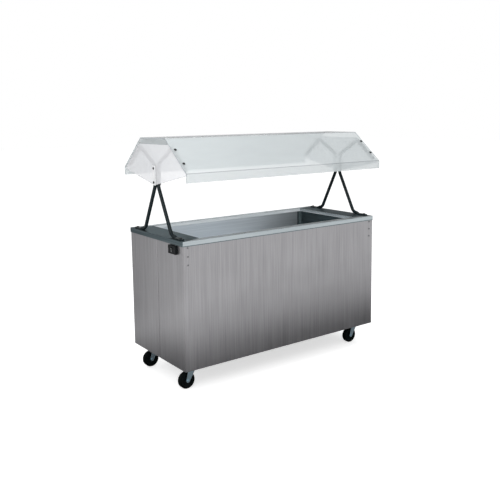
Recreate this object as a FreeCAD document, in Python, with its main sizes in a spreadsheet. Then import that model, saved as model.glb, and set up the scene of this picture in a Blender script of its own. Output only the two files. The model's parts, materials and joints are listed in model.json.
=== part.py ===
"""Mobile salad bar: a refrigerated cold well in a panelled cabinet on four swivel casters.

Frame: millimetres, +Z up, origin on the floor under the middle of the cabinet.
+X runs along the length, -Y is the customers' closed long side and +Y the open service side.
Black bent rods stand on the end rims and carry a folded translucent hood over the well.
"""
import FreeCAD, Part
import math
import os
import re
import Sketcher

doc = FreeCAD.newDocument("mobile_salad_bar")
dims = doc.addObject("Spreadsheet::Sheet", "dims")
V = FreeCAD.Vector

# ---------------------------------------------------------------- driving sizes

SIZES = {
    # cabinet
    "bar_length": 1516,          # outside of the end panels
    "bar_depth": 652,            # outside of the front panel to the rear edge
    "panel_reach": 4,            # how far the panels hang below the casters' plates
    "panel_gauge": 1.5,          # sheet of the panels and of the other folded parts
    "panel_return": 18,          # folded edge of a panel
    "fold_radius": 1.5,          # inside of every fold in sheet
    "seam_gap": 3,               # open joint between the two halves of an end
    "seam_shift": 16,            # how far the joint lies in front of the middle
    "panel_clearance": 0.5,      # between a panel and the frame inside it
    "panel_screw": 5,
    "panel_screw_drop": 38,      # first screw below the rim's top
    "panel_screw_pitch": 50,
    # rim and well
    "rim_overhang": 4,           # rim beyond the panels
    "rim_top": 904,
    "rim_height": 29,
    "rim_gauge": 2,
    "rim_corner": 6,
    "rim_end_width": 138,        # from the end panel's face to the opening
    "rim_side_width": 44,        # from the front panel's face to the opening
    "lip_drop": 18,              # turned-down edge round the opening, from the rim's top
    "strip_wall": 4,             # plastic strip that lines the opening
    "strip_gap": 0.3,
    "strip_below_rim": 1.5,
    "pan_inset": 14,             # pan wall behind the edge of the opening
    "pan_gauge": 2,
    "pan_flange": 20,
    "pan_depth": 190,
    "pan_corner": 30,
    "pan_cove": 12,
    "foam_side": 26,
    "foam_end": 40,
    "foam_floor": 35,
    # frame
    "post_size": 25,
    "post_wall": 2,
    "rail_width": 24,
    "rail_height": 40,
    "apron_height": 128,
    "deck_gauge": 2,
    "deck_edge": 26,
    "caster_rail_width": 120,
    "caster_rail_height": 29,
    "caster_rail_gauge": 2.5,
    # casters
    "caster_height": 143,
    "caster_end_inset": 89,      # swivel axis behind the end panel's face
    "caster_side_inset": 101,    # swivel axis behind the front panel's face
    "caster_trail": 30,
    "wheel_diameter": 102,
    "tread_width": 32,
    "tread_bevel": 6,
    "tread_rubber": 12,
    "hub_width": 38,
    "hub_radius": 13,
    "web_thickness": 10,
    "axle_diameter": 8,
    "running_clearance": 0.05,
    "fork_side_gap": 1,
    "fork_gauge": 3,
    "fork_boss": 12,
    "fork_half_length": 25,
    "crown_gauge": 3.5,
    "race_gap": 0.5,
    "kingpin_diameter": 12,
    "plate_length": 95,
    "plate_width": 80,
    "plate_gauge": 3,
    "plate_hole_x": 75,
    "plate_hole_y": 60,
    "plate_corner": 8,
    "bolt_diameter": 8,
    "bolt_clearance": 0.5,
    "bolt_head": 5,
    "race_depth": 9,
    "race_radius": 28,
    # hood
    "rod_diameter": 22,
    "rod_end_inset": 21,         # rods behind the end panel's face
    "foot_inset": 34,            # end of a foot behind the front panel's face
    "foot_length": 127,
    "foot_bolt_inset": 24,       # bolt behind the end of a foot
    "foot_gauge": 8,             # foot where the rod is pressed flat
    "foot_width": 30,
    "foot_corner": 3,
    "foot_press": 28,            # length over which round goes to flat
    "foot_heel": 22,             # round part of the foot beyond its bend
    "stem_half_gap": 20,         # half the distance between the two stems of one end
    "stem_start": 7,             # upright stem begins below the guard's tip
    "stem_length": 128,
    "arm_peak_inset": 43,        # rod's peak beyond the edge of the hood's flat top
    "arm_end_inset": 40,         # end of a rod's tail behind the hood's edge
    "foot_radius": 40,
    "stem_radius": 60,
    "peak_radius": 24,
    "hood_rise": 576,            # flat top of the hood above the rim
    "hood_drop": 190,            # fold between slope and lip below the flat top
    "hood_overhang": 59,         # edge of the hood beyond the front panel's face
    "hood_slope_width": 230,     # from the edge of the flat top to the edge of the hood
    "hood_lip": 52,
    "hood_sheet": 5,
    "hood_crease": 9,            # outer radius of the folds
    "hood_rod_gap": 0.3,
    "hood_bolt_inset": 23,       # lower bolt from the end of the rod's tail
    "hood_bolt_pitch": 90,
    "guard_sheet": 5,
    "guard_gap": 3,
    "guard_top_drop": 38,        # top edge of a guard below the hood's top
    "guard_edge_inset": 9,       # upright edge of a guard behind the hood's edge
    "guard_side": 10,
    "guard_tip_drop": 91,        # lowest point of a guard below the hood's fold
    "guard_corner": 8,
    "guard_bolt_rise": 17,       # lower guard bolt above the guard's tip
    "guard_bolt_pitch": 84,
    "strap_width": 36,
    "strap_height": 118,
    "strap_gauge": 3,
    "clamp_width": 62,
    # switch box
    "switch_box_inset": 100,     # middle of the box behind the front panel's face
    "switch_box_width": 84,
    "switch_box_height": 50,
    "switch_box_depth": 18,
    "switch_box_drop": 32,       # top of the box below the rim's top
    "switch_box_wall": 3,
    "rocker_length": 26,
    "rocker_width": 16,
    "rocker_pivot": 1.5,
    "rocker_face": 3,
    "rocker_trunnion": 1.5,
    "rocker_gap": 0.6,
    "rocker_end": 0.4,
    "rocker_stroke": 14,
    # drain
    "drain_inset": 60,           # outlet from the end of the opening
    "drain_pipe": 27,
    "drain_wall": 3,
    "drain_drop": 42,
    "drain_socket": 7,
    "valve_inset": 76,           # valve behind the service side
    "valve_length": 56,
    "valve_size": 40,
    "valve_hexagon": 22.4,
    "valve_boss": 20,
    "spigot_length": 34,
    "lever_length": 74,
    "lever_width": 16,
    "lever_gauge": 3,
    # condensing unit
    "bay_length": 366,           # machine bay, from the end panel's face inwards
    "bay_headroom": 13.5,        # between the louvred cover and the well's casing
    "louvre_pitch": 26,
    "louvre_margin": 48,
    "louvre_opening": 10,
    "louvre_depth": 9,
    "unit_inset": 192,           # middle of the unit behind the end panel's face
    "tray_length": 310,
    "tray_margin": 86,           # tray behind the front and rear of the bar
    "tray_edge": 16,
    "compressor_radius": 72,
    "compressor_height": 178,
    "compressor_inset": 196,     # compressor behind the front panel's face
    "compressor_foot_length": 180,
    "compressor_foot_width": 116,
    "compressor_foot_corner": 18,
    "compressor_seam": 75,       # welded seam above the foot
    "compressor_belly": 28,      # where the lower shell stops widening
    "compressor_shoulder": 42,   # where the upper shell starts to close, below its top
    "compressor_base_radius": 59,
    "compressor_shoulder_radius": 63,
    "compressor_crown_radius": 43,
    "terminal_length": 52,
    "terminal_height": 44,
    "terminal_depth": 20,
    "port_spread": 26,           # each refrigerant port from the compressor's axis
    "port_radius": 7,
    "port_height": 9,
    "line_diameter": 9.5,
    "line_radius": 24,
    "line_rise": 60,             # crossing run above the compressor's ports
    "line_end_inset": 30,        # lines from the ends of the coil
    "drier_diameter": 30,
    "drier_length": 90,
    "drier_taper": 14,
    "coil_inset": 110,           # coil behind the service side
    "coil_length": 250,
    "coil_height": 236,
    "coil_depth": 40,
    "coil_wall": 2,
    "fin_pitch": 10,
    "fan_radius": 92,
    "fan_hub": 22,
    "fan_depth": 20,
    "fan_gap": 6,
    "blade_gauge": 1.6,
    "blade_root": 12,            # half the blade's chord at the hub
    "blade_tip": 38,             # and at its tip
    "blade_rise": 0.55,          # share of a blade's lean that shows along the axis
    "shroud_gauge": 2,
    "shroud_rim": 24,
    "motor_radius": 34,
    "motor_length": 58,
    "motor_bracket": 40,
    "motor_bevel": 4,
}

FOLLOWING = {
    "rim_length": "bar_length + 2 * rim_overhang",
    "rim_depth": "bar_depth + 2 * rim_overhang",
    "well_length": "bar_length - 2 * rim_end_width",
    "well_width": "bar_depth - 2 * rim_side_width",
    "panel_bottom": "caster_height - panel_reach",
    "panel_screw_top": "rim_top - panel_screw_drop",
    "deck_top": "caster_height + caster_rail_height + deck_gauge",
    "caster_span": "bar_length - 2 * caster_end_inset",
    "caster_track": "bar_depth - 2 * caster_side_inset",
    "rod_plane": "bar_length / 2 - rod_end_inset",
    "foot_outer": "bar_depth / 2 - foot_inset",
    "foot_bend": "foot_outer - foot_length",
    "foot_bolt_at": "foot_outer - foot_bolt_inset",
    "hood_top": "rim_top + hood_rise",
    "hood_bend": "hood_top - hood_drop",
    "hood_half_depth": "bar_depth / 2 + hood_overhang",
    "hood_flat": "hood_half_depth - hood_slope_width",
    "guard_top": "hood_top - guard_top_drop",
    "guard_tip": "hood_bend - guard_tip_drop",
    "guard_half_depth": "hood_half_depth - guard_edge_inset",
    "guard_bolt_lower": "guard_tip + guard_bolt_rise",
    "guard_bolt_upper": "guard_bolt_lower + guard_bolt_pitch",
    "stem_low": "guard_tip - stem_start",
    "stem_high": "stem_low + stem_length",
    "arm_peak": "hood_flat + arm_peak_inset",
    "arm_end": "hood_half_depth - arm_end_inset",
    "hood_bolt_lower": "arm_end - hood_bolt_inset",
    "hood_bolt_upper": "hood_bolt_lower - hood_bolt_pitch",
    "switch_box_at": "bar_depth / 2 - switch_box_inset",
    "switch_box_top": "rim_top - switch_box_drop",
    "drain_at": "well_length / 2 - drain_inset",
    "valve_at": "bar_depth / 2 - valve_inset",
    "casing_bottom": "rim_top - lip_drop - pan_depth - pan_gauge - foam_floor - panel_gauge",
    "bay_start": "bar_length / 2 - bay_length",
    "bay_height": "casing_bottom - bay_headroom - deck_top",
    "louvre_length": "bay_length - 2 * louvre_margin",
    "unit_at": "bar_length / 2 - unit_inset",
    "tray_width": "bar_depth - 2 * tray_margin",
    "compressor_at": "bar_depth / 2 - compressor_inset",
    "coil_at": "bar_depth / 2 - coil_inset",
}

for row, (name, value) in enumerate([*SIZES.items(), *FOLLOWING.items()], 1):
    dims.set(f"A{row}", name)
    dims.set(f"B{row}", f"={value}")
    dims.setAlias(f"B{row}", name)
    doc.recompute()

parts = []


def tie(text):
    """A formula of size names, with each name pointed at its cell of the sheet."""
    named = {*SIZES, *FOLLOWING}
    return re.sub(r"[a-z][a-z_]+", lambda word: "dims." + word[0] if word[0] in named else word[0], text)


def size(text):
    """The present value of such a formula."""
    result = dims.evalExpression(re.sub(r"dims\.", "", tie(text)))
    return float(getattr(result, "Value", result))


def join(*terms):
    return " + ".join(f"({term})" for term in terms)


# ---------------------------------------------------------------- often used levels, as formulas

HALF_BAR = "bar_length / 2"
HALF_DEPTH = "bar_depth / 2"
RIM_UNDER = "rim_top - rim_gauge"
LEDGE = "rim_top - lip_drop"
PAN_X = "well_length / 2 - pan_inset"
PAN_Y = "well_width / 2 - pan_inset"
PAN_FLOOR = "rim_top - lip_drop - pan_depth"
FOAM_X = "well_length / 2 - pan_inset + pan_gauge + foam_end"
FOAM_Y = "well_width / 2 - pan_inset + pan_gauge + foam_side"
FOAM_BOTTOM = "rim_top - lip_drop - pan_depth - pan_gauge - foam_floor"
FLANGE_UNDER = "rim_top - lip_drop - pan_gauge"
FRAME_X = "bar_length / 2 - panel_return - panel_clearance"
FRAME_Y = "bar_depth / 2 - 2 * panel_gauge - panel_clearance"
POST_X = "bar_length / 2 - panel_return - panel_clearance - post_size / 2"
POST_Y = "bar_depth / 2 - 2 * panel_gauge - panel_clearance - post_size / 2"
WHEEL_RADIUS = "wheel_diameter / 2"
CROWN_TOP = "caster_height - plate_gauge - race_depth - race_gap"
FORK_INNER = "hub_width / 2 + fork_side_gap"
BOLT_HOLE = "bolt_diameter / 2 + bolt_clearance"
PITCH = "atan((hood_top - hood_bend) / (hood_half_depth - hood_flat))"


# ---------------------------------------------------------------- modelling helpers

def keep(shape, label):
    """Name a finished piece and put it on the list that is written out."""
    shape.Label = label
    parts.append(shape)
    return shape


def body(label, finished=True):
    new = doc.addObject("PartDesign::Body", label)
    new.Label = label
    return keep(new, label) if finished else new


def origin_part(owner, role):
    return next(item for item in owner.Origin.OriginFeatures if item.Role == role)


def sketch(owner, plane, offset="0"):
    """An empty sketch on one of the body's own planes, moved along the plane's normal."""
    new = owner.newObject("Sketcher::SketchObject", owner.Name + "_sketch")
    new.AttachmentSupport = [(origin_part(owner, plane), "")]
    new.MapMode = "FlatFace"
    new.setExpression("AttachmentOffset.Base.z", tie(offset))
    return new


def pin_point(drawing, geometry, end, point):
    """Tie one end of a line, or a circle's centre, to two formulas."""
    for kind, formula in zip(("DistanceX", "DistanceY"), point):
        rule = Sketcher.Constraint(kind, -1, 1, geometry, end, size(formula))
        index = drawing.addConstraint(rule)
        drawing.setExpression(f"Constraints[{index}]", tie(formula))


def polygon(drawing, points):
    spots = [V(size(a), size(b), 0) for a, b in points]
    first = drawing.GeometryCount
    count = len(points)
    for i in range(count):
        drawing.addGeometry(Part.LineSegment(spots[i], spots[(i + 1) % count]), False)
    for i in range(count):
        following = first + (i + 1) % count
        drawing.addConstraint(Sketcher.Constraint("Coincident", first + i, 2, following, 1))
        pin_point(drawing, first + i, 1, points[i])


def rectangle(drawing, x_low, y_low, x_high, y_high):
    polygon(drawing, [(x_low, y_low), (x_high, y_low), (x_high, y_high), (x_low, y_high)])


def centred(drawing, half_x, half_y):
    rectangle(drawing, f"-({half_x})", f"-({half_y})", half_x, half_y)


def circle(drawing, x, y, radius):
    index = drawing.addGeometry(Part.Circle(V(size(x), size(y), 0), V(0, 0, 1), size(radius)), False)
    pin_point(drawing, index, 3, (x, y))
    rule = drawing.addConstraint(Sketcher.Constraint("Radius", index, size(radius)))
    drawing.setExpression(f"Constraints[{rule}]", tie(radius))


def solid_volume(owner):
    doc.recompute()
    return owner.Shape.Volume if owner.Shape and not owner.Shape.isNull() else 0.0


def feature(owner, kind, drawing, length, reverse=False):
    """A pad or a pocket of one sketch, which has to change the body's volume."""
    before = solid_volume(owner)
    new = owner.newObject(f"PartDesign::{kind}", owner.Name + "_" + kind.lower())
    new.Profile = drawing
    new.Reversed = reverse
    new.setExpression("Length", tie(length))
    owner.Tip = new
    change = solid_volume(owner) - before
    if (change <= 0) == (kind == "Pad"):
        raise ValueError(f"{owner.Label}: {kind} changed the volume by {change}")
    return new


def pad(owner, drawing, length, reverse=False):
    return feature(owner, "Pad", drawing, length, reverse)


def pocket(owner, drawing, length, reverse=False):
    return feature(owner, "Pocket", drawing, length, reverse)


def turn(owner, drawing, axis):
    new = owner.newObject("PartDesign::Revolution", owner.Name + "_turned")
    new.Profile = drawing
    new.ReferenceAxis = (origin_part(owner, axis), [""])
    new.Angle = 360
    owner.Tip = new
    doc.recompute()
    return new


def soften(owner, radius, chosen, kind="Fillet"):
    """Round or bevel every edge of the body's present shape that the test picks."""
    base = owner.Tip
    doc.recompute()
    names = [f"Edge{i}" for i, edge in enumerate(base.Shape.Edges, 1) if chosen(edge)]
    if not names:
        raise ValueError(f"{owner.Label}: no edge to soften")
    new = owner.newObject(f"PartDesign::{kind}", owner.Name + "_" + kind.lower())
    new.Base = (base, names)
    new.setExpression("Radius" if kind == "Fillet" else "Size", tie(radius))
    owner.Tip = new
    doc.recompute()
    return new


def upright(edge):
    """True of a straight edge that runs along Z."""
    box = edge.BoundBox
    return box.XLength < 0.01 and box.YLength < 0.01


def near(value, formula, room=0.01):
    return abs(value - size(formula)) < room


def round_folds(owner, along, outside, inside, gauge="panel_gauge"):
    """Give the folds of a sheet their radii. Each fold is a spot in the plane across its axis."""
    across = [axis for axis in range(3) if axis != along]

    def lies_on(edge, spots):
        box = edge.BoundBox
        low, span = (box.XMin, box.YMin, box.ZMin), (box.XLength, box.YLength, box.ZLength)
        if span[along] < 1 or max(span[axis] for axis in across) > 0.01:
            return False
        return any(all(near(low[axis], value) for axis, value in zip(across, spot)) for spot in spots)

    soften(owner, f"fold_radius + {gauge}", lambda edge: lies_on(edge, outside))
    soften(owner, "fold_radius", lambda edge: lies_on(edge, inside))


def place(item, x="0", y="0", z="0", turned=0):
    """Put a finished piece at a point of the frame, turned about the vertical."""
    if turned:
        item.Placement = FreeCAD.Placement(V(0, 0, 0), FreeCAD.Rotation(V(0, 0, 1), turned))
    for axis, formula in zip("xyz", (x, y, z)):
        item.setExpression(f"Placement.Base.{axis}", tie(formula))
    return item


def group(label, members):
    """Several separate solids of one kind in one node."""
    new = doc.addObject("Part::Compound", label)
    new.Links = members
    return keep(new, label)


def fastener(shank, grip, head, head_height, nut=None, hexagon=True):
    """A bolt along +Z: the head lies above z = 0, the shank below, and the nut at its end."""
    pieces = []
    top = doc.addObject("Part::Prism" if hexagon else "Part::Cylinder", "bolt_head")
    top.setExpression("Circumradius" if hexagon else "Radius", tie(head))
    top.setExpression("Height", tie(head_height))
    pieces.append(top)
    stem = doc.addObject("Part::Cylinder", "bolt_shank")
    stem.setExpression("Radius", tie(f"({shank}) / 2"))
    length = grip if nut is None else join(grip, nut)
    stem.setExpression("Height", tie(length))
    stem.setExpression("Placement.Base.z", tie(f"-({length})"))
    pieces.append(stem)
    if nut is not None:
        end = doc.addObject("Part::Prism", "bolt_nut")
        end.setExpression("Circumradius", tie(head))
        end.setExpression("Height", tie(nut))
        end.setExpression("Placement.Base.z", tie(f"-({length})"))
        pieces.append(end)
    whole = doc.addObject("Part::MultiFuse", "bolt")
    whole.Shapes = pieces
    return whole


def aim(item, axis, angle):
    item.Placement = FreeCAD.Placement(V(0, 0, 0), FreeCAD.Rotation(axis, angle))
    return item


# ---------------------------------------------------------------- cabinet skin

def make_front_panel():
    """One folded sheet the length of the bar, with returns along its top and bottom."""
    panel = body("front_panel")
    section = sketch(panel, "YZ_Plane", "-bar_length / 2")
    outer = f"-({HALF_DEPTH})"
    inner = f"-({HALF_DEPTH}) + panel_gauge"
    back = f"-({HALF_DEPTH}) + panel_return"
    polygon(section, [
        (outer, "panel_bottom"), (back, "panel_bottom"), (back, "panel_bottom + panel_gauge"),
        (inner, "panel_bottom + panel_gauge"), (inner, f"{RIM_UNDER} - panel_gauge"),
        (back, f"{RIM_UNDER} - panel_gauge"), (back, RIM_UNDER), (outer, RIM_UNDER)])
    pad(panel, section, "bar_length")
    round_folds(panel, 0, [(outer, "panel_bottom"), (outer, RIM_UNDER)],
                [(inner, "panel_bottom + panel_gauge"), (inner, f"{RIM_UNDER} - panel_gauge")])
    notches = sketch(panel, "XY_Plane", RIM_UNDER)
    for near_x, far_x in ((FRAME_X, HALF_BAR), (f"-({HALF_BAR})", f"-({FRAME_X})")):
        rectangle(notches, near_x, inner, far_x, back)
    pocket(panel, notches, f"{RIM_UNDER} - panel_bottom")
    screws = sketch(panel, "XZ_Plane", HALF_DEPTH)
    for x in (POST_X, f"-({POST_X})"):
        for step in ("0", "1", "2"):
            circle(screws, x, f"panel_screw_top - {step} * panel_screw_pitch", "panel_screw / 2 + strip_gap")
    pocket(panel, screws, "panel_gauge * 2")


def make_end_panel(label, side, near_y, far_y):
    """Half of an end wall: a channel of sheet with a return at each upright edge."""
    panel = body(label)
    section = sketch(panel, "XY_Plane", "panel_bottom")
    outer = f"{side} * bar_length / 2"
    inner = f"{side} * (bar_length / 2 - panel_gauge)"
    back = f"{side} * (bar_length / 2 - panel_return)"
    polygon(section, [
        (outer, near_y), (back, near_y), (back, f"{near_y} + panel_gauge"),
        (inner, f"{near_y} + panel_gauge"), (inner, f"{far_y} - panel_gauge"),
        (back, f"{far_y} - panel_gauge"), (back, far_y), (outer, far_y)])
    pad(panel, section, f"{RIM_UNDER} - panel_bottom")
    round_folds(panel, 2, [(outer, near_y), (outer, far_y)],
                [(inner, f"{near_y} + panel_gauge"), (inner, f"{far_y} - panel_gauge")])


# ---------------------------------------------------------------- rim and well

def make_countertop():
    """The stainless rim: a flat frame with a skirt outside and a turned-down lip round the well."""
    top = body("countertop")
    block = sketch(top, "XY_Plane", "rim_top - rim_height")
    centred(block, "rim_length / 2", "rim_depth / 2")
    pad(top, block, "rim_height")
    soften(top, "rim_corner", upright)
    soften(top, "rim_gauge", lambda edge: near(edge.BoundBox.ZMin, "rim_top")
           and near(edge.BoundBox.ZMax, "rim_top"))
    hollow = sketch(top, "XY_Plane", "rim_top - rim_height")
    centred(hollow, "rim_length / 2 - rim_gauge", "rim_depth / 2 - rim_gauge")
    centred(hollow, "well_length / 2 + rim_gauge", "well_width / 2 + rim_gauge")
    pocket(top, hollow, "rim_height - rim_gauge", reverse=True)
    opening = sketch(top, "XY_Plane", "rim_top")
    centred(opening, "well_length / 2", "well_width / 2")
    pocket(top, opening, "rim_height")
    below_lip = sketch(top, "XY_Plane", "rim_top - rim_height")
    centred(below_lip, "well_length / 2 + rim_gauge", "well_width / 2 + rim_gauge")
    pocket(top, below_lip, "rim_height - lip_drop", reverse=True)
    bolt_holes = sketch(top, "XY_Plane", "rim_top")
    for sx in ("-1", "1"):
        for sy in ("-1", "1"):
            circle(bolt_holes, f"{sx} * rod_plane", f"{sy} * foot_bolt_at", BOLT_HOLE)
    pocket(top, bolt_holes, "rim_gauge * 2")


def make_breaker_strip():
    """The plastic strip that lines the opening, with the ledge that pans hang on."""
    strip = body("breaker_strip")
    outer_x = "well_length / 2 - strip_gap"
    outer_y = "well_width / 2 - strip_gap"
    block = sketch(strip, "XY_Plane", LEDGE)
    centred(block, outer_x, outer_y)
    centred(block, PAN_X, PAN_Y)
    pad(strip, block, "strip_wall")
    wall = sketch(strip, "XY_Plane", f"{LEDGE} + strip_wall")
    centred(wall, outer_x, outer_y)
    centred(wall, f"{outer_x} - strip_wall", f"{outer_y} - strip_wall")
    pad(strip, wall, "lip_drop - strip_wall - strip_below_rim")


def make_cold_pan():
    """The stainless liner: a deep pan with coved corners, a drain hole and an outward flange."""
    pan = body("cold_pan")
    shell = sketch(pan, "XY_Plane", f"{PAN_FLOOR} - pan_gauge")
    centred(shell, f"{PAN_X} + pan_gauge", f"{PAN_Y} + pan_gauge")
    pad(pan, shell, "pan_depth + pan_gauge")
    soften(pan, "pan_corner + pan_gauge", upright)
    flange = sketch(pan, "XY_Plane", FLANGE_UNDER)
    centred(flange, f"{PAN_X} + pan_gauge + pan_flange", f"{PAN_Y} + pan_gauge + pan_flange")
    pad(pan, flange, "pan_gauge")
    cavity = sketch(pan, "XY_Plane", LEDGE)
    rounded_rectangle(cavity, PAN_X, PAN_Y, "pan_corner")
    pocket(pan, cavity, "pan_depth")
    for level, radius in ((PAN_FLOOR, "pan_cove"), (f"{PAN_FLOOR} - pan_gauge", "pan_cove + pan_gauge")):
        soften(pan, radius, lambda edge, level=level: near(edge.BoundBox.ZMax, level)
               and near(edge.BoundBox.ZMin, level))
    hole = sketch(pan, "XY_Plane", PAN_FLOOR)
    circle(hole, "-drain_at", "0", "drain_pipe / 2 + strip_gap")
    pocket(pan, hole, "pan_gauge * 2")


def rounded_rectangle(drawing, half_x, half_y, radius):
    """A centred rectangle with an arc at each corner, every point tied to the sheet."""
    reach_x, reach_y = f"({half_x}) - ({radius})", f"({half_y}) - ({radius})"
    corners = [("1", "1"), ("-1", "1"), ("-1", "-1"), ("1", "-1")]
    first = drawing.GeometryCount
    for quarter, (sx, sy) in enumerate(corners):
        centre = V(size(f"{sx} * ({reach_x})"), size(f"{sy} * ({reach_y})"), 0)
        ring = Part.Circle(centre, V(0, 0, 1), size(radius))
        start = quarter * math.pi / 2
        drawing.addGeometry(Part.ArcOfCircle(ring, start, start + math.pi / 2), False)
    ends = [drawing.Geometry[first + i] for i in range(4)]
    for i in range(4):
        line = Part.LineSegment(ends[i].EndPoint, ends[(i + 1) % 4].StartPoint)
        drawing.addGeometry(line, False)
    for i, (sx, sy) in enumerate(corners):
        pin_point(drawing, first + i, 3, (f"{sx} * ({reach_x})", f"{sy} * ({reach_y})"))
        line, following = first + 4 + i, first + (i + 1) % 4
        drawing.addConstraint(Sketcher.Constraint("Tangent", first + i, 2, line, 1))
        drawing.addConstraint(Sketcher.Constraint("Tangent", line, 2, following, 1))
    rule = drawing.addConstraint(Sketcher.Constraint("Radius", first, size(radius)))
    drawing.setExpression(f"Constraints[{rule}]", tie(radius))
    for i in range(1, 4):
        drawing.addConstraint(Sketcher.Constraint("Equal", first, first + i))


def make_well_foam():
    """Foamed insulation between the pan and its casing."""
    foam = body("well_foam")
    block = sketch(foam, "XY_Plane", FOAM_BOTTOM)
    centred(block, FOAM_X, FOAM_Y)
    pad(foam, block, f"{FLANGE_UNDER} - ({FOAM_BOTTOM})")
    cavity = sketch(foam, "XY_Plane", FLANGE_UNDER)
    rounded_rectangle(cavity, f"{PAN_X} + pan_gauge", f"{PAN_Y} + pan_gauge", "pan_corner + pan_gauge")
    pocket(foam, cavity, "pan_depth")
    floor = f"{PAN_FLOOR} - pan_gauge"
    soften(foam, "pan_cove + pan_gauge", lambda edge: near(edge.BoundBox.ZMax, floor)
           and near(edge.BoundBox.ZMin, floor))
    hole = sketch(foam, "XY_Plane", floor)
    circle(hole, "-drain_at", "0", "drain_pipe / 2 + strip_gap")
    pocket(foam, hole, "foam_floor * 2")


def make_well_jacket():
    """The sheet casing round the insulation, open at the top."""
    jacket = body("well_jacket")
    block = sketch(jacket, "XY_Plane", f"{FOAM_BOTTOM} - panel_gauge")
    centred(block, f"{FOAM_X} + panel_gauge", f"{FOAM_Y} + panel_gauge")
    pad(jacket, block, f"{FLANGE_UNDER} - ({FOAM_BOTTOM}) + panel_gauge")
    cavity = sketch(jacket, "XY_Plane", FLANGE_UNDER)
    centred(cavity, FOAM_X, FOAM_Y)
    pocket(jacket, cavity, f"{FLANGE_UNDER} - ({FOAM_BOTTOM})")
    hole = sketch(jacket, "XY_Plane", FOAM_BOTTOM)
    circle(hole, "-drain_at", "0", "drain_pipe / 2 + strip_gap")
    pocket(jacket, hole, "panel_gauge * 2")


# ---------------------------------------------------------------- frame

def make_corner_posts():
    """Square tubes in the four corners, from the deck to the rim."""
    members = []
    for sx in ("-1", "1"):
        for sy in ("-1", "1"):
            post = body("corner_post", finished=False)
            ring = sketch(post, "XY_Plane")
            centred(ring, "post_size / 2", "post_size / 2")
            centred(ring, "post_size / 2 - post_wall", "post_size / 2 - post_wall")
            pad(post, ring, f"{RIM_UNDER} - panel_gauge - deck_top")
            if sy == "-1":
                screws = sketch(post, "XZ_Plane", "post_size")
                for step in ("0", "1", "2"):
                    level = f"panel_screw_top - {step} * panel_screw_pitch - deck_top"
                    circle(screws, "0", level, "panel_screw / 2 + strip_gap")
                pocket(post, screws, "post_size")
            members.append(place(
                post, f"{sx} * ({POST_X})", f"{sy} * ({POST_Y})", "deck_top"))
    group("corner_posts", members)


def make_top_rail(side):
    """A square-cornered tube under the pan's flange, between the posts of one long side."""
    rail = body("top_rail", finished=False)
    reach = f"{FRAME_X} - post_size"
    outer = f"{side} * ({FOAM_Y} + panel_gauge)"
    section = sketch(rail, "YZ_Plane", f"-({reach})")
    far = f"{side} * ({FOAM_Y} + panel_gauge + rail_width)"
    rectangle(section, outer, f"{FLANGE_UNDER} - rail_height", far, FLANGE_UNDER)
    wall = f"{side} * post_wall"
    rectangle(section, f"{outer} + {wall}", f"{FLANGE_UNDER} - rail_height + post_wall",
              f"{far} - {wall}", f"{FLANGE_UNDER} - post_wall")
    pad(rail, section, f"2 * ({reach})")
    return rail


def make_rear_apron():
    """The folded sheet that closes the service side between the rim and the open storage."""
    apron = body("rear_apron")
    reach = f"{FRAME_X} - post_size"
    section = sketch(apron, "YZ_Plane", f"-({reach})")
    low = f"{RIM_UNDER} - apron_height"
    outer, inner = HALF_DEPTH, f"{HALF_DEPTH} - panel_gauge"
    back = f"{HALF_DEPTH} - panel_return"
    polygon(section, [
        (outer, low), (outer, RIM_UNDER), (back, RIM_UNDER), (back, f"{RIM_UNDER} - panel_gauge"),
        (inner, f"{RIM_UNDER} - panel_gauge"), (inner, f"{low} + panel_gauge"),
        (back, f"{low} + panel_gauge"), (back, low)])
    pad(apron, section, f"2 * ({reach})")
    round_folds(apron, 0, [(outer, low), (outer, RIM_UNDER)],
                [(inner, f"{low} + panel_gauge"), (inner, f"{RIM_UNDER} - panel_gauge")])


def make_base_deck():
    """The floor of the storage space: a sheet tray with its edges turned down."""
    deck = body("base_deck")
    block = sketch(deck, "XY_Plane", "deck_top - deck_edge")
    centred(block, FRAME_X, FRAME_Y)
    pad(deck, block, "deck_edge")
    soften(deck, "fold_radius + deck_gauge", lambda edge: near(edge.BoundBox.ZMin, "deck_top"))
    hollow = sketch(deck, "XY_Plane", "deck_top - deck_edge")
    centred(hollow, f"{FRAME_X} - deck_gauge", f"{FRAME_Y} - deck_gauge")
    pocket(deck, hollow, "deck_edge - deck_gauge", reverse=True)


def make_caster_rail(side):
    """A channel across the underside that carries the casters of one end."""
    rail = body("caster_rail", finished=False)
    reach = f"{FRAME_Y} - deck_gauge - panel_clearance"
    section = sketch(rail, "XZ_Plane", f"-({reach})")
    centre = f"{side} * caster_span / 2"
    left, right = f"{centre} - caster_rail_width / 2", f"{centre} + caster_rail_width / 2"
    top, low = "deck_top - deck_gauge", "caster_height"
    wall = "caster_rail_gauge"
    polygon(section, [
        (left, low), (right, low), (right, top), (f"{right} - {wall}", top),
        (f"{right} - {wall}", f"{low} + {wall}"), (f"{left} + {wall}", f"{low} + {wall}"),
        (f"{left} + {wall}", top), (left, top)])
    pad(rail, section, f"2 * ({reach})")
    round_folds(rail, 1, [(left, low), (right, low)],
                [(f"{left} + {wall}", f"{low} + {wall}"), (f"{right} - {wall}", f"{low} + {wall}")], wall)
    holes = sketch(rail, "XY_Plane", "caster_height")
    for sy in ("-1", "1"):
        for hx in ("-1", "1"):
            for hy in ("-1", "1"):
                circle(holes, f"{centre} + {hx} * plate_hole_x / 2",
                       f"{sy} * caster_track / 2 + {hy} * plate_hole_y / 2", BOLT_HOLE)
    pocket(rail, holes, "caster_rail_gauge * 2", reverse=True)
    return rail


# ---------------------------------------------------------------- casters

CASTERS = {
    "front_left": ("-1", "-1"),
    "front_right": ("1", "-1"),
    "rear_left": ("-1", "1"),
    "rear_right": ("1", "1"),
}


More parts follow.
